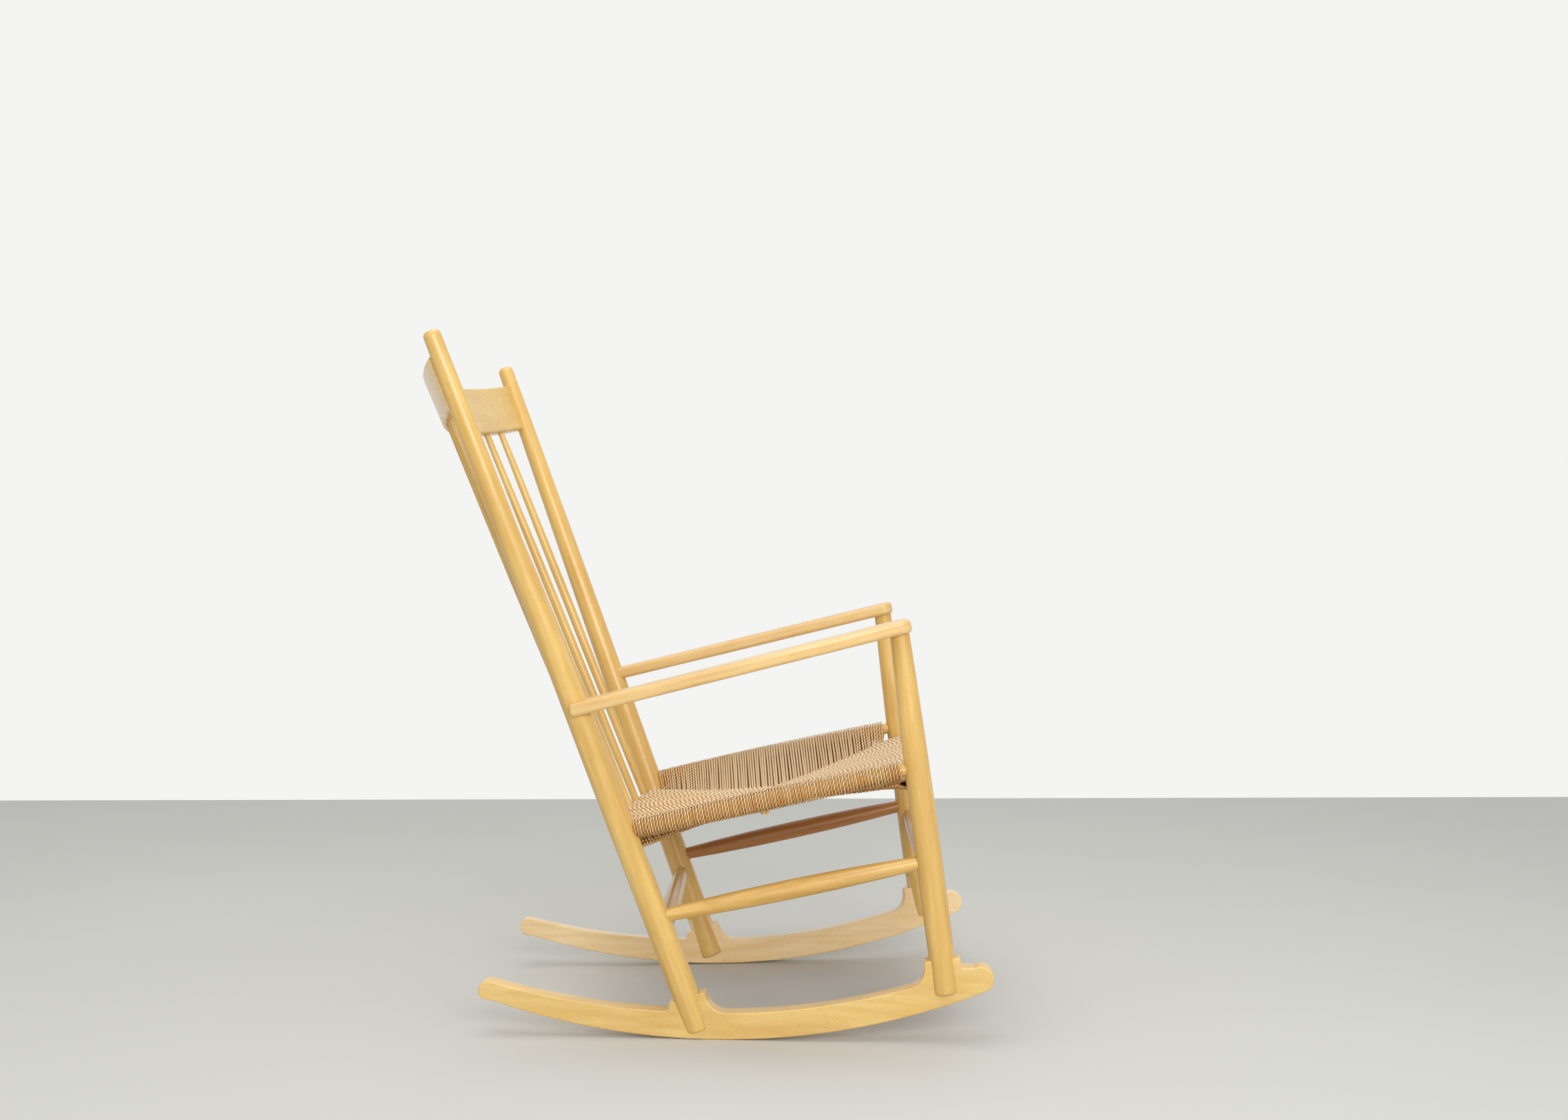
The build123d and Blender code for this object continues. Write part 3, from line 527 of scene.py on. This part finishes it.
@dataclass(frozen=True)
class PaperCord:
    """The cord that the seat and its knot are made of."""

    radius: float = 1.87
    sides: int = 8

    def lay_along(self, name: str, paths: list[list[Vector]], tree: bpy.types.NodeTree,
                  material: bpy.types.Material, seed: int) -> bpy.types.Object:
        """Sweeps the cord along paths.

        Args:
            name: The new piece's name.
            paths: Open paths, in metres.
            tree: The tree from cord_tree().
            material: The cord's material.
            seed: Fixes the strands' tones.

        Returns:
            A plain mesh object at the origin.
        """
        points = [tuple(point) for path in paths for point in path]
        edges = []
        start = 0
        for path in paths:
            edges += [(number, number + 1) for number in range(start, start + len(path) - 1)]
            start += len(path)
        mesh = bpy.data.meshes.new(name)
        mesh.from_pydata(points, edges, [])
        piece = bpy.data.objects.new(name, mesh)
        bpy.context.scene.collection.objects.link(piece)
        sweep = piece.modifiers.new("sweep", "NODES")
        sweep.node_group = tree
        values = {"Cord radius": self.radius * MM, "Sides": self.sides, "Seed": seed,
                  "Cord material": material}
        for item in tree.interface.items_tree:
            if item.item_type == "SOCKET" and item.in_out == "INPUT" and item.name in values:
                sweep[item.identifier] = values[item.name]
        seen = piece.evaluated_get(bpy.context.evaluated_depsgraph_get())
        swept = bpy.data.meshes.new_from_object(seen)
        swept.name = name
        piece.modifiers.remove(sweep)
        piece.data = swept
        bpy.data.meshes.remove(mesh)
        return piece


# How a strand's ends duck into the seat at the mitre, as steps inwards and upwards.
TOP_TUCK = ((2.2, -6.5), (1.6, -2.2))
UNDER_TUCK = ((1.6, 2.2), (2.2, 5.0))
# How many points draw a strand: over the seat, round the rail and back below.
OVER_STEPS, ROUND_STEPS, BELOW_STEPS = 8, 9, 5
# The least distance of a strand's end from the rail's middle, in radii, so that it has a tangent.
OUTSIDE = 1.001


@dataclass(frozen=True)
class Wrap:
    """One strand: in from the mitre over a rail, round its outside and back below to the mitre."""

    centre: Vector  # of the rail, where the strand goes round it
    inward: Vector  # the way to the middle of the seat
    up: Vector  # square to the rail and to inward
    radius: float  # of the cord's middle line round the rail
    top: Vector  # where the strand meets the mitre above
    under: Vector  # and below
    top_sag: float
    under_sag: float = 1.0
    late: float = 1.0  # above 1, the strand turns aside only close to the rail

    def tangent(self, target: Vector, side: int) -> float:
        """Where a taut strand from a point leaves the rail.

        Args:
            target: The point.
            side: 1 over the rail and -1 under it.

        Returns:
            The angle round the rail.
        """
        reach = target - self.centre
        along, high = reach.dot(self.inward), reach.dot(self.up)
        span = max(math.hypot(along, high), self.radius * OUTSIDE)
        return math.atan2(high, along) + side * math.acos(self.radius / span)

    def round_rail(self, angle: float) -> Vector:
        """The point of the strand at an angle round the rail."""
        return self.centre + (self.inward * math.cos(angle) + self.up * math.sin(angle)) * self.radius

    def stretch(self, mitre: Vector, rail: Vector, sag: float, steps: int) -> list[Vector]:
        """Points from the mitre to the rail, along a nearly straight line that sags a little.

        Args:
            mitre: Where the stretch starts.
            rail: Where it ends.
            sag: How far its middle hangs.
            steps: How many points follow the first.

        Returns:
            The points, with both ends.
        """
        way = self.inward.cross(self.up)
        aside = way * (rail - mitre).dot(way)
        points = []
        for step in range(steps + 1):
            share = step / steps
            hang = self.up * (4 * sag * share * (1 - share))
            points.append(mitre.lerp(rail, share) + aside * (share**self.late - share) - hang)
        return points

    def path(self) -> list[Vector]:
        """Follows the whole strand.

        Returns:
            Its points in metres, from inside the seat at the top to inside it below.
        """
        over = self.tangent(self.top, 1)
        below = self.tangent(self.under, -1) + math.tau
        line = [self.top + self.inward * step + self.up * rise for step, rise in TOP_TUCK]
        line += self.stretch(self.top, self.round_rail(over), self.top_sag, OVER_STEPS)
        line += [self.round_rail(over + (below - over) * turn / ROUND_STEPS)
                 for turn in range(1, ROUND_STEPS)]
        line += reversed(self.stretch(self.under, self.round_rail(below), -self.under_sag,
                                      BELOW_STEPS))
        line += [self.under + self.inward * step + self.up * rise for step, rise in UNDER_TUCK]
        return [point * MM for point in line]


@dataclass(frozen=True)
class CordSeat:
    """The woven seat: cord over four rails, in four panels that meet on mitres."""

    front_rail: Vector = Vector((261.5, -328.3, 386.2))  # axis at the left post, and the next three
    rear_rail: Vector = Vector((256.3, 105.5, 293.2))
    side_front: Vector = Vector((261.2, -324.7, 414.7))
    side_rear: Vector = Vector((259.1, 115.1, 319.9))
    rear_bow: float = 30.0
    slope_cosine: float = 0.977  # of the seat's tilt
    front_round: float = 12.3  # radius of the cord's middle line round the front rail
    rear_round: float = 12.0
    side_round: tuple[float, float] = (11.6, 14.8)  # at the ends and half way along
    front_corner: Vector = Vector((241.0, -300.0, 0.0))  # where the mitres start, in plan
    rear_corner: Vector = Vector((238.0, 94.0, 0.0))
    wound_from: float = -300.5  # the stretch of the side rails that carries cord, in depth
    wound_to: float = 98.5
    wound_seam: float = -101.0  # where it passes from the front strands to the rear ones
    seam_half: float = 44.0
    seam_depth: float = -107.0
    front_count: int = 43  # strands of each side, in front of the seam and behind it
    rear_count: int = 47
    middle_count: int = 20  # strands that run straight from front to back
    corner_sag: float = 3.5
    middle_sag: float = 12.0
    sag_rate: float = 1.35  # above 1, the full sag comes before the seam
    corner_gap: float = 4.0  # between the two layers' middle lines, at a corner
    seam_gap: float = 13.0  # and at the seam
    rear_slack: float = 10.5  # how much lower the lower layer hangs at the rear corners
    slack_until: float = 0.46  # and how far along the mitre it does
    under_slope: float = 0.12  # how steeply the side panels fall inwards underneath
    side_hang: float = 3.0  # how far the strands sag by themselves, over each rail
    front_hang: float = 2.0
    rear_hang: float = 2.5
    side_lap: float = 1.5  # how far the side strands stop short of their mitre
    side_duck: float = 0.8  # and duck between the layers there
    end_lap: float = 1.2  # how far the front and rear strands pass theirs
    outer_spindle: float = 3.5  # its place from the middle, in pitches
    spindle_pitch: float = 57.71
    spindle_room: float = 8.7  # from a spindle's axis to the first strand's
    outer_spread: float = 2.0  # how unevenly the strands outside the spindles lie
    crowding: float = 1.3  # how far every other crowded strand is lifted
    late_turn: float = 4.0  # the rear strands turn aside for the spindles only close to them
    jitter: float = 0.7  # how unevenly the strands lie
    rail_jitter: float = 0.5  # the share of it on the side rails, and on their mitres
    mitre_jitter: float = 1.6
    press: float = 0.15  # how unevenly the side strands press on their rail
    seed: int = 11
    cord: PaperCord = PaperCord()

    def plane_height(self, depth: float) -> float:
        """The height, at a depth, of the line from the front rail's axis to the rear rail's."""
        share = (depth - self.front_rail.y) / (self.rear_rail.y - self.front_rail.y)
        return self.front_rail.z + (self.rear_rail.z - self.front_rail.z) * share

    def sag(self, share: float) -> float:
        """How far the mitre lies below the rails' tops, from a corner (0) to the seam (1)."""
        deepening = math.sin(math.pi / 2 * min(1.0, share * self.sag_rate))
        return self.corner_sag + (self.middle_sag - self.corner_sag) * deepening

    def side_axis(self, depth: float) -> tuple[Vector, float]:
        """The left side rail's axis at a depth, and its share from front to back."""
        down = (depth - self.side_front.y) / (self.side_rear.y - self.side_front.y)
        return self.side_front.lerp(self.side_rear, down), down

    def mitre(self, across: float, depth: float, share: float) -> tuple[Vector, Vector]:
        """The ends of the strands at a point of the mitre.

        Args:
            across: The point's place across the chair.
            depth: Its place from front to back.
            share: Its place from the corner (0) to the seam (1).

        Returns:
            The points of the top and of the lower layer.
        """
        top = self.plane_height(depth) + self.front_round / self.slope_cosine - self.sag(share)
        gap = self.corner_gap + (self.seam_gap - self.corner_gap) * share**3
        if depth > self.seam_depth:
            gap += self.rear_slack * max(0.0, 1 - share / self.slack_until)
        return Vector((across, depth, top)), Vector((across, depth, top - gap))

    def side_panel(self, side: int, chance: random.Random) -> list[list[Vector]]:
        """The strands over one side rail.

        Args:
            side: 1 for the sitter's left and -1 for the right.
            chance: Where the small unevenness comes from.

        Returns:
            The strands' paths, in metres.
        """
        way = (self.side_rear - self.side_front).normalized()
        up = Vector((0, -way.z, way.y))
        ends, middle = self.side_round
        flip = Vector((side, 1, 1))
        paths = []
        for corner, end, count in ((self.front_corner, self.wound_from, self.front_count),
                                   (self.rear_corner, self.wound_to, self.rear_count)):
            for number in range(count):
                share = (number + 0.5) / count
                depth = corner.y + (self.seam_depth - corner.y) * share
                across = corner.x + (self.seam_half - corner.x) * share
                axis, down = self.side_axis(end + (self.wound_seam - end) * share)
                radius = ends + (middle - ends) * 4 * down * (1 - down)
                radius += chance.uniform(-self.press, self.press)
                axis = axis + way * chance.uniform(-self.jitter, self.jitter) * self.rail_jitter
                top, under = self.mitre(across, depth, share)
                shift = way * chance.uniform(-self.jitter, self.jitter) * self.mitre_jitter
                hang = axis.z - radius - self.under_slope * (axis.x - across)
                under.z = min(top.z - 2 * self.cord.radius, max(under.z, hang))
                out, duck = Vector((self.side_lap, 0, 0)), Vector((0, 0, self.side_duck))
                top, under = top + out - duck + shift, under + out + duck + shift
                paths.append(Wrap(axis * flip, Vector((-side, 0, 0)), up, radius, top * flip,
                                  under * flip, self.side_hang * (1 - 0.5 * share)).path())
        return paths

    def mitre_depth(self, across: float, corner: Vector) -> tuple[float, float]:
        """Where the front or rear panel ends at a place across the chair.

        Args:
            across: The place across.
            corner: The panel's corner.

        Returns:
            The depth of the mitre there, and its share from corner to seam.
        """
        share = min(1.0, (corner.x - abs(across)) / (corner.x - self.seam_half))
        return corner.y + (self.seam_depth - corner.y) * share, share

    def lanes(self, corner: Vector, count: int) -> list[float]:
        """Spaces out the strands of the front or the rear panel.

        Args:
            corner: The panel's corner.
            count: How many strands it has on each side of the middle ones.

        Returns:
            The strands' places across the chair.
        """
        outer = [corner.x + (self.seam_half - corner.x) * (number + 0.5) / count
                 for number in range(count)]
        step = 2 * self.seam_half / self.middle_count
        inner = [-self.seam_half + step * (number + 0.5) for number in range(self.middle_count)]
        return outer + inner + [-across for across in outer]

    def front_panel(self, chance: random.Random) -> list[list[Vector]]:
        """The strands over the front rail.

        Args:
            chance: Where the small unevenness comes from.

        Returns:
            The strands' paths, in metres.
        """
        paths = []
        for across in self.lanes(self.front_corner, self.front_count):
            depth, share = self.mitre_depth(across, self.front_corner)
            top, under = self.mitre(across, depth + self.end_lap, share)
            place = across + chance.uniform(-self.jitter, self.jitter)
            axis = Vector((place, self.front_rail.y, self.front_rail.z))
            paths.append(Wrap(axis, Vector((0, 1, 0)), Vector((0, 0, 1)), self.front_round, top,
                              under, self.front_hang * share).path())
        return paths

    def beside_spindles(self, across: float) -> tuple[float, bool]:
        """Moves a strand on the rear rail sideways, clear of the spindles.

        Args:
            across: The strand's place at the mitre.

        Returns:
            Its place on the rail, and whether it is crowded there.
        """
        middle = math.floor(across / self.spindle_pitch + 0.5) * self.spindle_pitch
        if abs(across) > self.outer_spindle * self.spindle_pitch:
            return across, False
        squeeze = (self.spindle_pitch - 2 * self.spindle_room) / self.spindle_pitch
        return middle + (across - middle) * squeeze, True

    def rear_panel(self, chance: random.Random) -> list[list[Vector]]:
        """The strands over the bowed rear rail, between the spindles.

        Args:
            chance: Where the small unevenness comes from.

        Returns:
            The strands' paths, in metres.
        """
        slope = Vector((0, self.rear_rail.y - self.front_rail.y,
                        self.rear_rail.z - self.front_rail.z)).normalized()
        up = Vector((0, -slope.z, slope.y))
        bend = (self.rear_rail.x**2 + self.rear_bow**2) / (2 * self.rear_bow)
        outermost = self.outer_spindle * self.spindle_pitch
        paths = []
        for number, across in enumerate(self.lanes(self.rear_corner, self.rear_count)):
            depth, share = self.mitre_depth(across, self.rear_corner)
            top, under = self.mitre(across, depth - self.end_lap, share)
            place, crowded = self.beside_spindles(across)
            if abs(abs(place) - outermost) < self.spindle_room:
                place = math.copysign(outermost + self.spindle_room, place)
                place += chance.uniform(0, self.outer_spread)
            back = self.rear_bow - bend + math.sqrt(bend**2 - place**2)
            axis = Vector((place, self.rear_rail.y, self.rear_rail.z)) + slope * back
            radius = self.rear_round + (self.crowding * (number % 2) if crowded else 0.0)
            paths.append(Wrap(axis, -slope, up, radius, top, under, self.rear_hang * share,
                              late=self.late_turn).path())
        return paths

    def weave(self, tree: bpy.types.NodeTree, material: bpy.types.Material) -> list[bpy.types.Object]:
        """Builds the four panels.

        Args:
            tree: The tree from cord_tree().
            material: The cord's material.

        Returns:
            The panels.
        """
        chance = random.Random(self.seed)
        panels = {
            "seat_cords_left": self.side_panel(1, chance),
            "seat_cords_right": self.side_panel(-1, chance),
            "seat_cords_front": self.front_panel(chance),
            "seat_cords_rear": self.rear_panel(chance),
        }
        pieces = []
        for number, (name, paths) in enumerate(panels.items()):
            piece = self.cord.lay_along(name, paths, tree, material, number)
            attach(piece, "root")
            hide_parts("cord_seat")
            pieces.append(piece)
        return pieces


@dataclass(frozen=True)
class SeatStuffing:
    """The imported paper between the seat's two layers: one thin closed body inside the cords."""

    seat: CordSeat
    slices: int = 36  # from front to back
    end_inset: float = 9.0  # from the front and rear rails to the first and last slice
    lap: float = 5.0  # how far its flat middle stops short of the mitre
    side_inset: float = 4.0  # from a side rail's axis to its edge, and the two below too
    side_drop: float = 2.0
    side_half: float = 2.0  # half of its thickness there
    clear: float = 2.4  # from the cords' middle lines to its faces
    thin_half: float = 0.25  # half of its least thickness
    bare_front: float = 0.12  # the share of the mitres, from the corners, where it has no wings
    bare_rear: float = 0.03

    def slice_at(self, depth: float) -> list[tuple[float, float, float]]:
        """The outline of one slice.

        Args:
            depth: Its place from front to back.

        Returns:
            Eight points in metres, once round: left to right above, and back below.
        """
        seat = self.seat
        side, _ = seat.side_axis(depth)
        corner, bare = seat.rear_corner, self.bare_rear
        if depth < seat.seam_depth:
            corner, bare = seat.front_corner, self.bare_front
        share = min(1.0, max(0.0, (depth - corner.y) / (seat.seam_depth - corner.y)))
        behind = min(1.0, max(0.0, (depth + self.end_inset - seat.rear_rail.y) / seat.rear_bow))
        across = corner.x + (seat.seam_half - corner.x) * share
        across = min(across, seat.rear_rail.x * math.sqrt(1 - behind) + self.lap)
        top, under = seat.mitre(across, depth, share)
        height, half = (top.z + under.z) / 2, max(self.thin_half, (top.z - under.z) / 2 - self.clear)
        inner = across - self.lap
        edge = (across - self.side_inset, height, half)
        if share > bare:
            edge = (side.x - self.side_inset, side.z - self.side_drop, self.side_half)
        above = [(edge[0], edge[1] + edge[2]), (inner, height + half)]
        below = [(inner, height - half), (edge[0], edge[1] - edge[2])]
        row = above + [(-x, z) for x, z in reversed(above)]
        row += [(-x, z) for x, z in reversed(below)] + below
        return [(x * MM, depth * MM, z * MM) for x, z in row]

    def pack(self) -> bpy.types.Object:
        """Builds the body, closed at both ends.

        Returns:
            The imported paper.
        """
        start = self.seat.front_rail.y + self.end_inset
        end = self.seat.rear_rail.y + self.seat.rear_bow - self.end_inset
        shell = bmesh.new()
        rings = [[shell.verts.new(point)
                  for point in self.slice_at(start + (end - start) * step / self.slices)]
                 for step in range(self.slices + 1)]
        for first, second in zip(rings, rings[1:]):
            for place in range(len(first)):
                follow = (place + 1) % len(first)
                shell.faces.new((first[place], first[follow], second[follow], second[place]))
        shell.faces.new(rings[0])
        shell.faces.new(list(reversed(rings[-1])))
        bmesh.ops.recalc_face_normals(shell, faces=shell.faces)
        mesh = bpy.data.meshes.new("seat_stuffing")
        shell.to_mesh(mesh)
        shell.free()
        # Its dark colour is painted shade.
        mesh.materials.append(StuffingPaintedAsShade().build())
        piece = bpy.data.objects.new("seat_stuffing", mesh)
        bpy.context.scene.collection.objects.link(piece)
        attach(piece, "root")
        return piece


@dataclass(frozen=True)
class CordKnot:
    """The knot that ends the cord, drawn tight under the right side rail."""

    cord: PaperCord = PaperCord(radius=1.8)
    lobes: int = 3
    lift: float = 4.0  # so that it is pulled up against the strands
    steps: int = 60
    units: tuple[float, float, float] = (14.0, 9.0, 5.0)  # the CAD knot's size, in the loop's units
    seed: int = 5

    def tie(self, tree: bpy.types.NodeTree, material: bpy.types.Material) -> bpy.types.Object:
        """Builds the knot as a tight lobed loop in the room of the CAD's knot.

        Args:
            tree: The tree from cord_tree().
            material: The cord's material.

        Returns:
            The knot.
        """
        low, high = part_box("cord_knot")
        centre = (Vector(low) + Vector(high)) / 2 + Vector((0, 0, self.lift * MM))
        size = Vector(high) - Vector(low)
        loop = []
        for step in range(self.steps):
            angle = math.tau * step / self.steps
            swell = 2 + math.cos(self.lobes * angle)
            loop.append(centre + Vector((
                swell * math.cos(2 * angle) * size.x / self.units[0],
                swell * math.sin(2 * angle) * size.y / self.units[1],
                math.sin(self.lobes * angle) * size.z / self.units[2])))
        piece = self.cord.lay_along("seat_cord_knot", [loop], tree, material, self.seed)
        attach(piece, "root")
        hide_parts("cord_knot")
        return piece


@dataclass(frozen=True)
class SoftLight:
    """A large soft lamp that faces the middle of the chair. Metres and watts."""

    name: str
    place: tuple[float, float, float]
    size: tuple[float, float]
    power: float
    aim: tuple[float, float, float] = (0.0, 0.0, 0.45)

    def hang(self) -> None:
        """Hangs the lamp."""
        data = bpy.data.lights.new(self.name, "AREA")
        data.shape = "RECTANGLE"
        data.size, data.size_y = self.size
        data.energy = self.power
        lamp = bpy.data.objects.new(self.name, data)
        lamp.location = self.place
        away = Vector(self.place) - Vector(self.aim)
        lamp.rotation_euler = away.to_track_quat("Z", "Y").to_euler()
        bpy.context.scene.collection.objects.link(lamp)


@dataclass(frozen=True)
class Studio:
    """A pale floor before a white wall, soft lights and the camera. Metres and radians."""

    image_width: int = 2274  # pixels
    focal_pixels: float = 2623.5
    sensor_mm: float = 36.0
    camera_at: tuple[float, float, float] = (-2.9526, -0.14315, 0.79293)
    yaw: float = 0.0059
    pitch: float = -0.0254
    roll: float = -0.0032
    sight: float = 60.0  # how far the camera sees
    floor_reach: float = 9.0  # to the sides and behind the camera
    wall_at: float = 2.07  # where the floor stops behind the chair
    sky: str = "#FCFCFA"
    room: float = 0.6  # how bright the room is
    wall: float = 0.93  # and the white wall behind the chair
    wall_edge: tuple[float, float] = (0.55, 0.8)  # between them, by how far a way leads to +X
    lights: tuple[SoftLight, ...] = (
        SoftLight("window", (-3.4, -0.9, 1.65), (2.2, 1.3), 72.0),
        SoftLight("overhead", (-0.4, 0.2, 3.2), (2.6, 2.6), 42.0),
    )

    def camera(self) -> None:
        """Sets up the camera."""
        data = bpy.data.cameras.new("camera")
        data.sensor_fit = "HORIZONTAL"
        data.sensor_width = self.sensor_mm
        data.lens = self.focal_pixels * data.sensor_width / self.image_width
        data.clip_end = self.sight
        ahead = Vector((math.cos(self.yaw) * math.cos(self.pitch),
                        math.sin(self.yaw) * math.cos(self.pitch), math.sin(self.pitch)))
        right = Vector((math.sin(self.yaw), -math.cos(self.yaw), 0))
        up = right.cross(ahead)
        across = right * math.cos(self.roll) + up * math.sin(self.roll)
        upright = up * math.cos(self.roll) - right * math.sin(self.roll)
        turn = Matrix((across, upright, -ahead)).transposed().to_4x4()
        camera = bpy.data.objects.new("camera", data)
        camera.matrix_world = Matrix.Translation(self.camera_at) @ turn
        bpy.context.scene.collection.objects.link(camera)
        bpy.context.scene.camera = camera

    def floor(self) -> None:
        """Lays a plain floor that stops behind the chair, where the wall takes over."""
        reach, end = self.floor_reach, self.wall_at
        mesh = bpy.data.meshes.new("floor")
        mesh.from_pydata([(-reach, -reach, 0), (end, -reach, 0), (end, reach, 0), (-reach, reach, 0)],
                         [], [(0, 1, 2, 3)])
        mesh.materials.append(SmoothConcrete().build())
        floor = bpy.data.objects.new("floor", mesh)
        bpy.context.scene.collection.objects.link(floor)

    def surroundings(self) -> None:
        """Fills the scene with even light, with a white wall behind the chair."""
        world = bpy.data.worlds.new("studio")
        world.use_nodes = True
        world.node_tree.nodes.clear()
        tree = world.node_tree
        toward = put(tree, "ShaderNodeTexCoord").outputs["Generated"]
        way = put(tree, "ShaderNodeSeparateXYZ", {0: toward}).outputs["X"]
        wall = put(tree, "ShaderNodeMapRange", {
            "Value": way, "From Min": self.wall_edge[0], "From Max": self.wall_edge[1],
            "To Min": self.room, "To Max": self.wall}, interpolation_type="SMOOTHSTEP")
        glow = put(tree, "ShaderNodeBackground", {
            "Color": linear(self.sky), "Strength": wall.outputs["Result"]})
        put(tree, "ShaderNodeOutputWorld", {"Surface": glow.outputs[0]})
        bpy.context.scene.world = world

    def build(self) -> None:
        """Builds the whole studio."""
        self.camera()
        self.floor()
        self.surroundings()
        for light in self.lights:
            light.hang()
        bpy.context.scene.view_settings.view_transform = "Standard"


def main() -> None:
    """Builds the studio, dresses the wood, weaves the seat and ties its knot."""
    logging.basicConfig(level=logging.INFO, format="%(name)s: %(message)s")
    Studio().build()
    for name, finish in WoodFrame().dress().items():
        log.info("%s: %s", name, finish)
    cord = TwistedPaperCord().build()
    tree = cord_tree()
    seat = CordSeat()
    for piece in (*seat.weave(tree, cord), SeatStuffing(seat).pack(), CordKnot().tie(tree, cord)):
        log.info("%s: %s, %d faces", piece.name, piece.active_material.name, len(piece.data.polygons))


if __name__ == "__main__":
    main()
